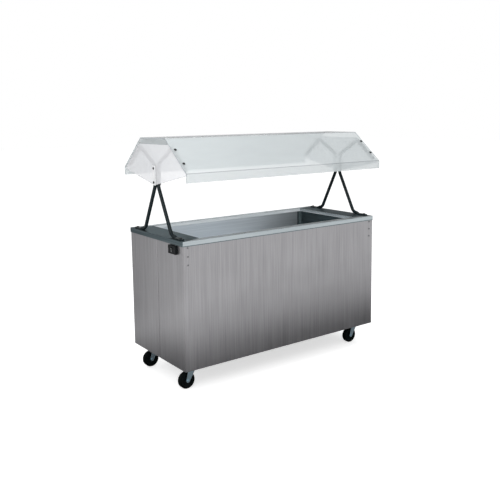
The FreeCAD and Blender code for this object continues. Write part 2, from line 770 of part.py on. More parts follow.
def caster_spot(sx, sy):
    return f"{sx} * caster_span / 2", f"{sy} * caster_track / 2"


def make_caster_plate(sx, sy):
    """Mounting plate with the pressed swivel race and its riveted king pin."""
    plate = body("caster_plate", finished=False)
    under = "caster_height - plate_gauge"
    race_low = f"{under} - race_depth"
    head_top = f"{CROWN_TOP} - crown_gauge - race_gap"
    pin = "kingpin_diameter / 2"
    outline = sketch(plate, "XY_Plane", under)
    centred(outline, "plate_length / 2", "plate_width / 2")
    pad(plate, outline, "plate_gauge")
    soften(plate, "plate_corner", upright, "Chamfer")
    profile = sketch(plate, "XZ_Plane")
    polygon(profile, [
        ("0", under), ("race_radius", under), ("race_radius - race_depth / 2", race_low),
        (pin, race_low), (pin, head_top), (f"{pin} + 4 * crown_gauge / 3", head_top),
        (pin, f"{head_top} - crown_gauge"), ("0", f"{head_top} - crown_gauge")])
    turn(plate, profile, "Z_Axis")
    holes = sketch(plate, "XY_Plane", "caster_height")
    for x in ("-1", "1"):
        for y in ("-1", "1"):
            circle(holes, f"{x} * plate_hole_x / 2", f"{y} * plate_hole_y / 2", BOLT_HOLE)
    pocket(plate, holes, "plate_gauge * 2")
    return place(plate, *caster_spot(sx, sy))


def tangent_spot(corner, centre, radius, side):
    """Where a line from the corner touches the circle, on the chosen side."""
    across = corner - centre
    half = math.acos(radius / across.Length) * side
    cosine, sine = math.cos(half), math.sin(half)
    ray = across * (radius / across.Length)
    return centre + V(ray.x * cosine - ray.y * sine, ray.x * sine + ray.y * cosine, 0)


def make_fork(name, sx, sy):
    """A pressed steel fork: a folded channel trimmed to legs that sweep back to the axle."""
    fork = body(f"caster_{name}_fork")
    outer = f"{FORK_INNER} + fork_gauge"
    low = f"{WHEEL_RADIUS} - fork_boss"
    back = "caster_trail + fork_boss"
    section = sketch(fork, "YZ_Plane", f"-({back})")
    polygon(section, [
        (f"-({outer})", low), (f"-({outer})", CROWN_TOP), (outer, CROWN_TOP), (outer, low),
        (FORK_INNER, low), (FORK_INNER, f"{CROWN_TOP} - crown_gauge"),
        (f"-({FORK_INNER})", f"{CROWN_TOP} - crown_gauge"), (f"-({FORK_INNER})", low)])
    pad(fork, section, f"{back} + fork_half_length")
    soften(fork, "fork_gauge", lambda edge: near(edge.BoundBox.ZMin, CROWN_TOP)
           and edge.BoundBox.YLength < 0.01 and near(abs(edge.BoundBox.YMin), outer))
    trim = sketch(fork, "XZ_Plane", f"{outer} + 1")
    leg_outline(trim)
    rectangle(trim, f"-({back}) - 5", f"{low} - 5", "fork_half_length + 5", f"{CROWN_TOP} + 5")
    pocket(fork, trim, f"2 * ({outer}) + 2")
    pin_hole = sketch(fork, "XY_Plane", CROWN_TOP)
    circle(pin_hole, "0", "0", "kingpin_diameter / 2 + running_clearance")
    pocket(fork, pin_hole, "crown_gauge")
    axle_holes = sketch(fork, "XZ_Plane", f"{outer} + 1")
    circle(axle_holes, "-caster_trail", WHEEL_RADIUS, "axle_diameter / 2 + running_clearance")
    pocket(fork, axle_holes, f"2 * ({outer}) + 2")
    place(fork, *caster_spot(sx, sy))


def leg_outline(drawing):
    """Side view of a fork leg: broad at the crown, straight edges tangent to the axle boss."""
    edge_drop = "fork_gauge * 4"
    corners = [("-fork_half_length", f"{CROWN_TOP} - {edge_drop}"), ("-fork_half_length", CROWN_TOP),
               ("fork_half_length", CROWN_TOP), ("fork_half_length", f"{CROWN_TOP} - {edge_drop}")]
    spots = [V(size(a), size(b), 0) for a, b in corners]
    centre = V(-size("caster_trail"), size(WHEEL_RADIUS), 0)
    radius = size("fork_boss")
    right = tangent_spot(spots[3], centre, radius, -1)
    left = tangent_spot(spots[0], centre, radius, 1)
    path = spots + [right]
    for a, b in zip(path, path[1:]):
        drawing.addGeometry(Part.LineSegment(a, b), False)
    ring = Part.Circle(centre, V(0, 0, 1), radius)
    start = math.atan2(left.y - centre.y, left.x - centre.x)
    stop = math.atan2(right.y - centre.y, right.x - centre.x)
    drawing.addGeometry(Part.ArcOfCircle(ring, start, stop), False)
    drawing.addGeometry(Part.LineSegment(left, spots[0]), False)
    for i in range(3):
        drawing.addConstraint(Sketcher.Constraint("Coincident", i, 2, i + 1, 1))
    for i, point in enumerate(corners):
        pin_point(drawing, i, 1, point)
    drawing.addConstraint(Sketcher.Constraint("Tangent", 3, 2, 4, 2))
    drawing.addConstraint(Sketcher.Constraint("Tangent", 4, 1, 5, 1))
    drawing.addConstraint(Sketcher.Constraint("Coincident", 5, 2, 0, 1))
    pin_point(drawing, 4, 3, ("-caster_trail", WHEEL_RADIUS))
    rule = drawing.addConstraint(Sketcher.Constraint("Radius", 4, radius))
    drawing.setExpression(f"Constraints[{rule}]", tie("fork_boss"))


def make_wheel(name, sx, sy):
    """Moulded wheel core on a plain bore, and the rubber tread moulded round it."""
    x, y = caster_spot(sx, sy)
    spot = (f"{x} - caster_trail", y, WHEEL_RADIUS)
    bore = "axle_diameter / 2 + running_clearance"
    seat = f"{WHEEL_RADIUS} - tread_rubber"
    half_tread, half_web = "tread_width / 2", "web_thickness / 2"
    rim_low = f"{WHEEL_RADIUS} - 1.5 * tread_rubber"
    core = body(f"caster_{name}_wheel_core")
    profile = sketch(core, "YZ_Plane")
    right_side = [
        ("hub_width / 2", bore), ("hub_width / 2", "hub_radius"), (half_web, "hub_radius + 2"),
        (half_web, rim_low), (f"{half_tread} - 1", f"{rim_low} + 2"), (f"{half_tread} - 1", seat)]
    polygon(profile, right_side + [(f"-({a})", b) for a, b in reversed(right_side)])
    turn(core, profile, "Y_Axis")
    place(core, *spot)
    tread = body(f"caster_{name}_tread")
    profile = sketch(tread, "YZ_Plane")
    right_side = [
        (half_tread, seat), (half_tread, f"{WHEEL_RADIUS} - tread_bevel"),
        (f"{half_tread} - tread_bevel", WHEEL_RADIUS)]
    polygon(profile, right_side + [(f"-({a})", b) for a, b in reversed(right_side)])
    turn(tread, profile, "Y_Axis")
    place(tread, *spot)


def make_axle(name, sx, sy):
    """Axle bolt through the fork legs, with its head and nut outside them."""
    x, y = caster_spot(sx, sy)
    outer = f"{FORK_INNER} + fork_gauge"
    bolt = fastener("axle_diameter", f"2 * ({outer})", "0.9 * axle_diameter", "bolt_head", "bolt_head")
    aim(bolt, V(1, 0, 0), 90)
    place(bolt, f"{x} - caster_trail", f"{y} - ({outer})", WHEEL_RADIUS)
    keep(bolt, f"caster_{name}_axle")


def make_caster_bolts():
    """Four bolts through each plate and channel, heads below and nuts inside the channel."""
    members = []
    for sx, sy in CASTERS.values():
        x, y = caster_spot(sx, sy)
        for hx in ("-1", "1"):
            for hy in ("-1", "1"):
                bolt = fastener("bolt_diameter", "plate_gauge + caster_rail_gauge",
                                "0.9 * bolt_diameter", "bolt_head", "bolt_head")
                aim(bolt, V(1, 0, 0), 180)
                members.append(place(
                    bolt, f"{x} + {hx} * plate_hole_x / 2", f"{y} + {hy} * plate_hole_y / 2",
                    "caster_height - plate_gauge"))
    group("caster_bolts", members)


# ---------------------------------------------------------------- hood

def slope_depth(distance, at):
    """Height of a line that runs inside the hood's slope at a set distance from its face."""
    return f"hood_bend + (hood_half_depth - ({at})) * tan({PITCH}) - ({distance}) / cos({PITCH})"


ROD_INSET = "hood_sheet + hood_rod_gap + rod_diameter / 2"
FOOT_LEVEL = "rim_top + rod_diameter / 2"
FOOT_FLAT = "foot_bend + foot_heel + foot_press"


def bent_path(points, radii):
    """Straight runs through the points, with a tangent arc of the given radius at each corner."""
    edges = []
    start = points[0]
    for before, corner, after, radius in zip(points, points[1:], points[2:], radii):
        towards, away = (before - corner).normalize(), (after - corner).normalize()
        half = towards.getAngle(away) / 2
        reach = radius / math.tan(half)
        first, last = corner + towards * reach, corner + away * reach
        middle_line = (towards + away).normalize()
        middle = corner + middle_line * (radius / math.sin(half) - radius)
        edges.append(Part.makeLine(start, first))
        edges.append(Part.Arc(first, middle, last).toShape())
        start = last
    edges.append(Part.makeLine(start, points[-1]))
    return Part.Wire(edges)


def foot_plate(sy):
    """The pressed part of a foot: a flat blade that widens from the rod and has a round end."""
    heel_at, flat_at, outer = size("foot_bend + foot_heel"), size(FOOT_FLAT), size("foot_outer")
    wide, narrow, level = size("foot_width / 2"), size("rod_diameter / 3"), size("rim_top")

    def spot(x, y):
        return V(x, sy * y, level)

    side = [spot(narrow, heel_at), spot(wide, flat_at), spot(wide, outer - wide)]
    other = [V(-point.x, point.y, point.z) for point in reversed(side)]
    lines = [Part.makeLine(a, b) for a, b in zip(side, side[1:])]
    tip = Part.Arc(side[-1], spot(0, outer), other[0]).toShape()
    back = [Part.makeLine(a, b) for a, b in zip(other, other[1:])]
    outline = Part.Wire(lines + [tip] + back + [Part.makeLine(other[-1], side[0])])
    plate = Part.Face(outline).extrude(V(0, 0, size("foot_gauge")))
    top = level + size("foot_gauge")
    rounded = [edge for edge in plate.Edges if edge.BoundBox.ZMin > top - 0.01
               and abs(edge.BoundBox.YMax - sy * heel_at) + edge.BoundBox.YLength > 0.01]
    return plate.makeFillet(size("foot_corner"), rounded)


def press_cut(sy):
    """What pressing takes off the round rod: everything over a slope down to the blade."""
    heel_at, flat_at = size("foot_bend + foot_heel"), size(FOOT_FLAT)
    level, gauge, rod = size("rim_top"), size("foot_gauge"), size("rod_diameter")
    corners = [(heel_at, level + rod), (flat_at, level + gauge), (flat_at + rod, level + gauge),
               (flat_at + rod, level + 2 * rod), (heel_at, level + 2 * rod)]
    spots = [V(-rod, sy * y, z) for y, z in corners]
    outline = Part.makePolygon(spots + spots[:1])
    return Part.Face(outline).extrude(V(2 * rod, 0, 0))


def make_rod(label, sx, sy):
    """One round rod: pressed foot, leg leaning in, upright stem, arm and tail under the slope."""
    route = [
        (FOOT_FLAT, FOOT_LEVEL), ("foot_bend", FOOT_LEVEL), ("stem_half_gap", "stem_low"),
        ("stem_half_gap", "stem_high"), ("arm_peak", slope_depth(ROD_INSET, "arm_peak")),
        ("arm_end", slope_depth(ROD_INSET, "arm_end"))]
    points = [V(0, sy * size(a), size(b)) for a, b in route]
    radii = [size(name) for name in ("foot_radius", "stem_radius", "foot_radius", "peak_radius")]
    path = bent_path(points, radii)
    end = Part.Face(Part.Wire(Part.makeCircle(size("rod_diameter") / 2, points[0], V(0, sy, 0))))
    tube = path.makePipe(end)
    hole_radius = size("bolt_diameter / 2 + running_clearance")
    reach = size("2 * rod_diameter")
    foot_hole_start = V(0, sy * size("foot_bolt_at"), size("rim_top - rod_diameter"))
    holes = [Part.makeCylinder(hole_radius, reach, foot_hole_start)]
    pitch = math.radians(size(PITCH))
    square_to_slope = V(0, sy * math.sin(pitch), math.cos(pitch))
    for at in ("hood_bolt_upper", "hood_bolt_lower"):
        spot = hood_bolt_spot(at, sy)
        start = spot - square_to_slope * reach * 1.5
        holes.append(Part.makeCylinder(hole_radius, 2 * reach, start, square_to_slope))
    rod = doc.addObject("Part::Feature", label)
    rod.Shape = tube.cut(press_cut(sy)).fuse(foot_plate(sy)).cut(holes).removeSplitter()
    place(rod, f"{sx} * rod_plane")
    keep(rod, label)


def hood_bolt_spot(at, sy):
    """Where a bolt's axis leaves the outer face of the slope, in the plane of the rods."""
    return V(0, sy * size(at), size(slope_depth("0", at)))


def drilled(label, base, cutters):
    """A finished piece with holes: the base less a set of cylinders."""
    tools = doc.addObject("Part::Compound", "drills")
    tools.Links = cutters
    cut = doc.addObject("Part::Cut", label)
    cut.Base = base
    cut.Tool = tools
    return keep(cut, label)


def slope_turn(sy):
    """Turn that points +Z square out of the hood's slope on one side."""
    return FreeCAD.Rotation(V(1, 0, 0), -sy * size(PITCH))


def drill(radius, length, turned):
    new = doc.addObject("Part::Cylinder", "drill")
    new.setExpression("Radius", tie(radius))
    new.setExpression("Height", tie(length))
    new.Placement = FreeCAD.Placement(V(0, 0, 0), turned)
    return new


HOOD_BOLTS = [
    (sx, sy, at) for sx in (-1, 1) for sy in (-1, 1)
    for at in ("hood_bolt_upper", "hood_bolt_lower")]


def mirrored(points):
    return [(f"-({a})", b) for a, b in reversed(points)]


def make_canopy():
    """The hood: one sheet folded into a flat top, two slopes and two upright lips."""
    hood = body("hood_blank", finished=False)
    section = sketch(hood, "YZ_Plane", f"-({HALF_BAR})")
    lip = "hood_bend - hood_lip"
    back = "hood_half_depth - hood_sheet"
    outer = [("hood_flat", "hood_top"), ("hood_half_depth", "hood_bend"), ("hood_half_depth", lip)]
    inner = [
        (back, lip), (back, f"hood_bend - hood_sheet * tan((90deg - {PITCH}) / 2)"),
        (f"hood_flat - hood_sheet * tan({PITCH} / 2)", "hood_top - hood_sheet")]
    polygon(section, outer + inner + mirrored(inner) + mirrored(outer))
    pad(hood, section, "bar_length")
    for fold, radius in ((outer[:2], "hood_crease"), (inner[1:], "hood_crease - hood_sheet")):
        soften(hood, radius, lambda edge, fold=fold: edge.BoundBox.XLength > 1 and any(
            near(abs(edge.BoundBox.YMin), a) and near(edge.BoundBox.ZMin, b) for a, b in fold))
    drills = []
    for sx, sy, at in HOOD_BOLTS:
        hole = drill(BOLT_HOLE, "hood_sheet * 6", slope_turn(sy))
        above = "hood_sheet * 3"
        drills.append(place(
            hole, f"{sx} * rod_plane", f"{sy} * ({at} - {above} * sin({PITCH}))",
            f"{slope_depth('0', at)} - {above} * cos({PITCH})"))
    drilled("canopy_sheet", hood, drills)


GUARD_FACE = "rod_plane + rod_diameter / 2 + hood_rod_gap"
STRAP_MIDDLE = "(guard_bolt_upper + guard_bolt_lower) / 2"


def slab_start(side, near_x, gauge):
    """Where a sheet that is drawn across the bar starts, for either end."""
    return f"{near_x}" if side > 0 else f"-({near_x} + {gauge})"


def tie_bolt_holes(owner, plane_offset, gauge):
    holes = sketch(owner, "YZ_Plane", plane_offset)
    for level in ("guard_bolt_upper", "guard_bolt_lower"):
        circle(holes, "0", level, BOLT_HOLE)
    pocket(owner, holes, gauge, reverse=True)


def make_end_guard(label, side):
    """Clear sheet that closes one end of the hood, with a pointed lower edge."""
    guard = body(label)
    start = slab_start(side, GUARD_FACE, "guard_sheet")
    outline = sketch(guard, "YZ_Plane", start)
    distance = "hood_sheet + guard_gap"
    corner = slope_depth(distance, "guard_half_depth")
    top_y = f"hood_half_depth - (guard_top - hood_bend + ({distance}) / cos({PITCH})) / tan({PITCH})"
    right = [
        (top_y, "guard_top"), ("guard_half_depth", corner),
        ("guard_half_depth", f"{corner} - guard_side")]
    polygon(outline, right + [("0", "guard_tip")] + mirrored(right))
    pad(guard, outline, "guard_sheet")
    soften(guard, "guard_corner", lambda edge: edge.BoundBox.YLength < 0.01
           and edge.BoundBox.ZLength < 0.01
           and (near(edge.BoundBox.ZMin, "guard_top") or near(edge.BoundBox.ZMin, "guard_tip")))
    tie_bolt_holes(guard, start, "guard_sheet")


def make_guard_clamps():
    """At each end a strap outside the clear sheet and a bar behind the two stems."""
    members = []
    for side in (-1, 1):
        for near_x, width in (
                (f"{GUARD_FACE} + guard_sheet", "strap_width"),
                ("rod_plane - rod_diameter / 2 - strap_gauge", "clamp_width")):
            bar = body("clamp_bar", finished=False)
            start = slab_start(side, near_x, "strap_gauge")
            outline = sketch(bar, "YZ_Plane", start)
            rectangle(outline, f"-({width} / 2)", f"{STRAP_MIDDLE} - strap_height / 2",
                      f"{width} / 2", f"{STRAP_MIDDLE} + strap_height / 2")
            pad(bar, outline, "strap_gauge")
            tie_bolt_holes(bar, start, "strap_gauge")
            members.append(bar)
    group("guard_clamps", members)


def make_hood_bolts():
    """Bolts through the hood's slopes and the tails of the rods."""
    members = []
    for sx, sy, at in HOOD_BOLTS:
        bolt = fastener("bolt_diameter", "hood_sheet + hood_rod_gap + rod_diameter",
                        "bolt_diameter", "bolt_head", "bolt_head", hexagon=False)
        bolt.Placement = FreeCAD.Placement(V(0, 0, 0), slope_turn(sy))
        members.append(place(bolt, f"{sx} * rod_plane", f"{sy} * {at}", slope_depth("0", at)))
    group("hood_bolts", members)


def make_rod_bolts():
    """Bolts that hold the feet on the rim, and those that clamp the guards to the stems."""
    members = []
    for sx in (-1, 1):
        for sy in (-1, 1):
            bolt = fastener("bolt_diameter", "foot_gauge + rim_gauge", "bolt_diameter",
                            "bolt_head", "bolt_head", hexagon=False)
            members.append(place(bolt, f"{sx} * rod_plane", f"{sy} * foot_bolt_at", "rim_top + foot_gauge"))
        for level in ("guard_bolt_upper", "guard_bolt_lower"):
            grip = "2 * strap_gauge + guard_sheet + hood_rod_gap + rod_diameter"
            bolt = fastener("bolt_diameter", grip, "bolt_diameter", "bolt_head / 2", "bolt_head",
                            hexagon=False)
            aim(bolt, V(0, 1, 0), 90 * sx)
            members.append(place(bolt, f"{sx} * ({GUARD_FACE} + guard_sheet + strap_gauge)", "0", level))
    group("rod_bolts", members)


def make_panel_screws():
    """Three screws near each end of the front panel, into the corner posts behind it."""
    members = []
    for sx in ("-1", "1"):
        for step in ("0", "1", "2"):
            screw = fastener("panel_screw", "panel_gauge + panel_return / 3", "panel_screw",
                             "panel_screw / 2", hexagon=False)
            aim(screw, V(1, 0, 0), 90)
            members.append(place(screw, f"{sx} * ({POST_X})", f"-({HALF_DEPTH})",
                                 f"panel_screw_top - {step} * panel_screw_pitch"))
    group("panel_screws", members)


# ---------------------------------------------------------------- switch box

BOX_MIDDLE = "switch_box_top - switch_box_height / 2"
BOX_FACE = f"-({HALF_BAR} + switch_box_depth)"
ROCKER_X = f"{BOX_FACE} + rocker_pivot"


def make_switch_box():
    """Moulded housing under the rim's end, with the well for the rocker and its pivot holes."""
    box = body("switch_box")
    block = sketch(box, "YZ_Plane", BOX_FACE)
    rectangle(block, "-switch_box_at - switch_box_width / 2", "switch_box_top - switch_box_height",
              "-switch_box_at + switch_box_width / 2", "switch_box_top")
    pad(box, block, "switch_box_depth")
    soften(box, "switch_box_wall", lambda edge: edge.BoundBox.XLength > 1 or near(edge.BoundBox.XMax, BOX_FACE))
    well = sketch(box, "YZ_Plane", BOX_FACE)
    half_y, half_z = "rocker_width / 2 + rocker_gap", "rocker_length / 2 + rocker_gap"
    rectangle(well, f"-switch_box_at - ({half_y})", f"{BOX_MIDDLE} - ({half_z})",
              f"-switch_box_at + {half_y}", f"{BOX_MIDDLE} + {half_z}")
    pocket(box, well, "switch_box_depth - switch_box_wall", reverse=True)
    pivots = sketch(box, "XZ_Plane", "switch_box_at + rocker_width / 2 + 2 * rocker_trunnion + rocker_gap")
    circle(pivots, ROCKER_X, BOX_MIDDLE, "rocker_trunnion + running_clearance")
    pocket(box, pivots, "rocker_width + 4 * rocker_trunnion + 2 * rocker_gap")


def make_rocker():
    """The rocker key, tilted by half its travel, with a trunnion at each side."""
    rocker = body("rocker_switch")
    face = "rocker_face"
    high = f"{face} + rocker_length / 2 * tan(rocker_stroke / 2)"
    outline = [(high, "rocker_length / 2 - rocker_end"), (face, "0"), (high, "rocker_end - rocker_length / 2"),
               ("-rocker_length / 10", "-rocker_length / 3"), ("-rocker_length / 10", "rocker_length / 3")]
    lean = "rocker_stroke / 2"
    turned = [(f"{ROCKER_X} - (({u}) * cos({lean}) + ({w}) * sin({lean}))",
               f"{BOX_MIDDLE} + ({w}) * cos({lean}) - ({u}) * sin({lean})") for u, w in outline]
    key = sketch(rocker, "XZ_Plane", "switch_box_at - rocker_width / 2")
    polygon(key, turned)
    pad(rocker, key, "rocker_width")
    shaft = sketch(rocker, "XZ_Plane", "switch_box_at - rocker_width / 2 - 2 * rocker_trunnion")
    circle(shaft, ROCKER_X, BOX_MIDDLE, "rocker_trunnion")
    pad(rocker, shaft, "rocker_width + 4 * rocker_trunnion")


# ---------------------------------------------------------------- drain

PIPE_LEVEL = f"{FOAM_BOTTOM} - panel_gauge - drain_drop"
NECK_END = f"{FOAM_BOTTOM} - panel_gauge - drain_socket"


def make_drain_fitting():
    """Flanged outlet in the pan's floor, whose neck passes down through the insulation."""
    fitting = body("drain_fitting")
    profile = sketch(fitting, "XZ_Plane")
    bore, outside = "drain_pipe / 2 - drain_wall", "drain_pipe / 2"
    polygon(profile, [
        (bore, NECK_END), (outside, NECK_END), (outside, PAN_FLOOR), ("drain_pipe", PAN_FLOOR),
        ("drain_pipe - 1", f"{PAN_FLOOR} + pan_gauge"), (bore, f"{PAN_FLOOR} + pan_gauge / 2")])
    turn(fitting, profile, "Z_Axis")
    place(fitting, "-drain_at")


def make_drain_pipe():
    """Elbowed pipe from the well's outlet to the valve at the service side."""
    y_end = size("valve_at - valve_length / 2")
    top = size(f"{FOAM_BOTTOM} - panel_gauge - strip_gap")
    points = [V(0, 0, top), V(0, 0, size(PIPE_LEVEL)), V(0, y_end, size(PIPE_LEVEL))]
    radius = size("drain_drop - drain_socket - strip_gap")
    path = bent_path(points, [radius])
    shells = []
    for pipe_radius in (size("drain_pipe / 2 + drain_wall"), size("drain_pipe / 2 + running_clearance")):
        ring = Part.Face(Part.Wire(Part.makeCircle(pipe_radius, points[0], V(0, 0, 1))))
        shells.append(path.makePipe(ring))
    pipe = doc.addObject("Part::Feature", "drain_pipe")
    pipe.Shape = shells[0].cut(shells[1])
    place(pipe, "-drain_at")
    keep(pipe, "drain_pipe")


def make_drain_valve():
    """Ball valve body with a hexagon at each end, a stem boss on top and a plain hose spigot."""
    valve = body("drain_valve")
    bore = "drain_pipe / 2 - drain_wall"
    barrel = sketch(valve, "XZ_Plane", "valve_length / 4")
    circle(barrel, "0", "0", "valve_size / 2")
    pad(valve, barrel, "valve_length / 2", reverse=True)
    for start in ("valve_length / 2", "-valve_length / 4"):
        collar = sketch(valve, "XZ_Plane", start)
        hexagon = [(f"valve_hexagon * cos({angle})", f"valve_hexagon * sin({angle})")
                   for angle in range(0, 360, 60)]
        polygon(collar, hexagon)
        pad(valve, collar, "valve_length / 4", reverse=True)
    boss = sketch(valve, "XY_Plane")
    circle(boss, "0", "0", "valve_boss / 2")
    pad(valve, boss, "valve_size / 2 + lever_gauge")
    spigot = sketch(valve, "XZ_Plane", "-valve_length / 2")
    circle(spigot, "0", "0", "drain_pipe / 2")
    pad(valve, spigot, "spigot_length", reverse=True)
    through = sketch(valve, "XZ_Plane", "-valve_length / 2 - spigot_length")
    circle(through, "0", "0", bore)
    pocket(valve, through, "valve_length + spigot_length", reverse=True)
    stem = sketch(valve, "XY_Plane", "valve_size / 2 + lever_gauge")
    circle(stem, "0", "0", "axle_diameter / 2 + running_clearance")
    pocket(valve, stem, "valve_size / 4")
    place(valve, "-drain_at", "valve_at", PIPE_LEVEL)


def make_valve_lever():
    """Flat lever on a stem that turns a quarter turn in the valve's boss."""
    lever = body("valve_lever")
    level = "valve_size / 2 + lever_gauge + strip_gap"
    stem = sketch(lever, "XY_Plane", "valve_size / 4 + 2 * lever_gauge + strip_gap")
    circle(stem, "0", "0", "axle_diameter / 2")
    pad(lever, stem, f"{level} - valve_size / 4 - lever_gauge - strip_gap")
    blade = sketch(lever, "XY_Plane", level)
    rectangle(blade, "-lever_width / 2", "-lever_width / 2", "lever_length", "lever_width / 2")
    pad(lever, blade, "lever_gauge")
    soften(lever, "lever_width / 2 - 1", upright_long)
    place(lever, "-drain_at", "valve_at", PIPE_LEVEL)


def upright_long(edge):
    return upright(edge) and edge.BoundBox.XLength < 0.01 and abs(edge.BoundBox.YMin) > size("lever_width") / 3


# ---------------------------------------------------------------- condensing unit

COVER_FACE = "bar_depth / 2 - panel_gauge - louvre_depth - panel_clearance"
TRAY_TOP = "deck_top + panel_gauge"
COIL_MIDDLE = "deck_top + panel_gauge + coil_height / 2"
SHROUD_FACE = "coil_at - coil_depth / 2 - shroud_rim"


def make_bay_wall():
    """Folded sheet between the storage space and the machine bay."""
    wall = body("machine_bay_wall")
    section = sketch(wall, "XY_Plane", "deck_top")
    front, rear = f"-({FRAME_Y}) + panel_return", f"{COVER_FACE} - panel_gauge - strip_gap"
    polygon(section, [
        ("bay_start", front), ("bay_start + panel_return", front),
        ("bay_start + panel_return", f"{front} + panel_gauge"),
        ("bay_start + panel_gauge", f"{front} + panel_gauge"), ("bay_start + panel_gauge", f"{rear} - panel_gauge"),
        ("bay_start + panel_return", f"{rear} - panel_gauge"), ("bay_start + panel_return", rear),
        ("bay_start", rear)])
    pad(wall, section, "bay_height")
    round_folds(wall, 2, [("bay_start", front), ("bay_start", rear)],
                [("bay_start + panel_gauge", f"{front} + panel_gauge"),
                 ("bay_start + panel_gauge", f"{rear} - panel_gauge")])


def make_machine_cover():
    """The bay's removable cover on the service side: a sheet with rows of pressed louvres."""
    cover = body("machine_cover")
    section = sketch(cover, "XZ_Plane", f"-({COVER_FACE})")
    rectangle(section, "bay_start", "deck_top", f"{FRAME_X} - post_size", "deck_top + bay_height")
    pad(cover, section, "panel_gauge")
    middle = f"(bay_start + {FRAME_X} - post_size) / 2"
    first = "deck_top + 2 * louvre_pitch"
    hood = sketch(cover, "YZ_Plane", f"{middle} - louvre_length / 2")
    polygon(hood, [
        (COVER_FACE, first), (f"{COVER_FACE} + louvre_depth", first),
        (f"{COVER_FACE} + louvre_depth", f"{first} + panel_gauge"),
        (f"{COVER_FACE} + panel_gauge", f"{first} + louvre_opening + panel_gauge"),
        (COVER_FACE, f"{first} + louvre_opening + panel_gauge")])
    lip = pad(cover, hood, "louvre_length")
    slot = sketch(cover, "YZ_Plane", f"{middle} - louvre_length / 2 + panel_gauge")
    polygon(slot, [
        (f"{COVER_FACE} - 2 * panel_gauge", f"{first} - 1"),
        (f"{COVER_FACE} + louvre_depth - panel_gauge", f"{first} - 1"),
        (f"{COVER_FACE} + louvre_depth - panel_gauge", f"{first} + 0.3"),
        (COVER_FACE, f"{first} + louvre_opening"),
        (f"{COVER_FACE} - 2 * panel_gauge", f"{first} + louvre_opening")])
    gap = pocket(cover, slot, "louvre_length - 2 * panel_gauge", reverse=True)
    rows = cover.newObject("PartDesign::LinearPattern", "louvre_rows")
    rows.Originals = [lip, gap]
    rows.Direction = (origin_part(cover, "Z_Axis"), [""])
    count = "floor((bay_height - 4 * louvre_pitch) / louvre_pitch) + 1"
    rows.setExpression("Occurrences", tie(count))
    rows.setExpression("Length", tie(f"({count} - 1) * louvre_pitch"))
    cover.Tip = rows
    doc.recompute()


def make_unit_tray():
    """Shallow tray that carries the compressor and the coil."""
    tray = body("unit_tray")
    block = sketch(tray, "XY_Plane", "deck_top")
    centred(block, "tray_length / 2", "tray_width / 2")
    pad(tray, block, "tray_edge")
    hollow = sketch(tray, "XY_Plane", "deck_top + tray_edge")
    centred(hollow, "tray_length / 2 - panel_gauge", "tray_width / 2 - panel_gauge")
    pocket(tray, hollow, "tray_edge - panel_gauge")
    place(tray, "unit_at")


COMPRESSOR_FOOT = f"{TRAY_TOP} + fork_gauge"
COMPRESSOR_CROWN = f"{COMPRESSOR_FOOT} + compressor_height"
PORT_TOP = f"{COMPRESSOR_CROWN} + port_height"


def make_compressor():
    """Hermetic compressor: two drawn shells with a welded seam, a footed plate, ports and a terminal box."""
    shell = body("compressor")
    foot = sketch(shell, "XY_Plane", TRAY_TOP)
    centred(foot, "compressor_foot_length / 2", "compressor_foot_width / 2")
    pad(shell, foot, "fork_gauge")
    soften(shell, "compressor_foot_corner", upright)
    profile = sketch(shell, "XZ_Plane")
    seam = f"{COMPRESSOR_FOOT} + compressor_seam"
    shoulder = f"{COMPRESSOR_CROWN} - compressor_shoulder"
    polygon(profile, [
        ("0", COMPRESSOR_FOOT), ("compressor_base_radius", COMPRESSOR_FOOT),
        ("compressor_radius", f"{COMPRESSOR_FOOT} + compressor_belly"),
        ("compressor_radius", seam), ("compressor_radius + fork_gauge", seam),
        ("compressor_radius + fork_gauge", f"{seam} + fork_gauge"),
        ("compressor_radius", f"{seam} + fork_gauge"), ("compressor_radius", shoulder),
        ("compressor_shoulder_radius", f"{shoulder} + compressor_shoulder / 2"),
        ("compressor_crown_radius", COMPRESSOR_CROWN), ("0", COMPRESSOR_CROWN)])
    turn(shell, profile, "Z_Axis")
    box = sketch(shell, "XZ_Plane", "compressor_radius + terminal_depth")
    rectangle(box, "-terminal_length / 2", f"{seam} + 2 * fork_gauge",
              "terminal_length / 2", f"{seam} + 2 * fork_gauge + terminal_height")
    pad(shell, box, "compressor_radius / 2 + terminal_depth")
    ports = sketch(shell, "XY_Plane", COMPRESSOR_CROWN)
    for side in ("-1", "1"):
        circle(ports, f"{side} * port_spread", "0", "port_radius")
    pad(shell, ports, "port_height")
    place(shell, "unit_at", "-compressor_at")


def line_run(points, radius):
    """A solid refrigerant line along tangent bends."""
    ends = [V(*(size(value) for value in point)) for point in points]
    path = bent_path(ends, [size("line_radius")] * (len(ends) - 2)) if len(ends) > 2 else Part.Wire(
        [Part.makeLine(*ends)])
    start = (ends[1] - ends[0]).normalize()
    ring = Part.Face(Part.Wire(Part.makeCircle(size(radius), ends[0], start)))
    return path.makePipe(ring)


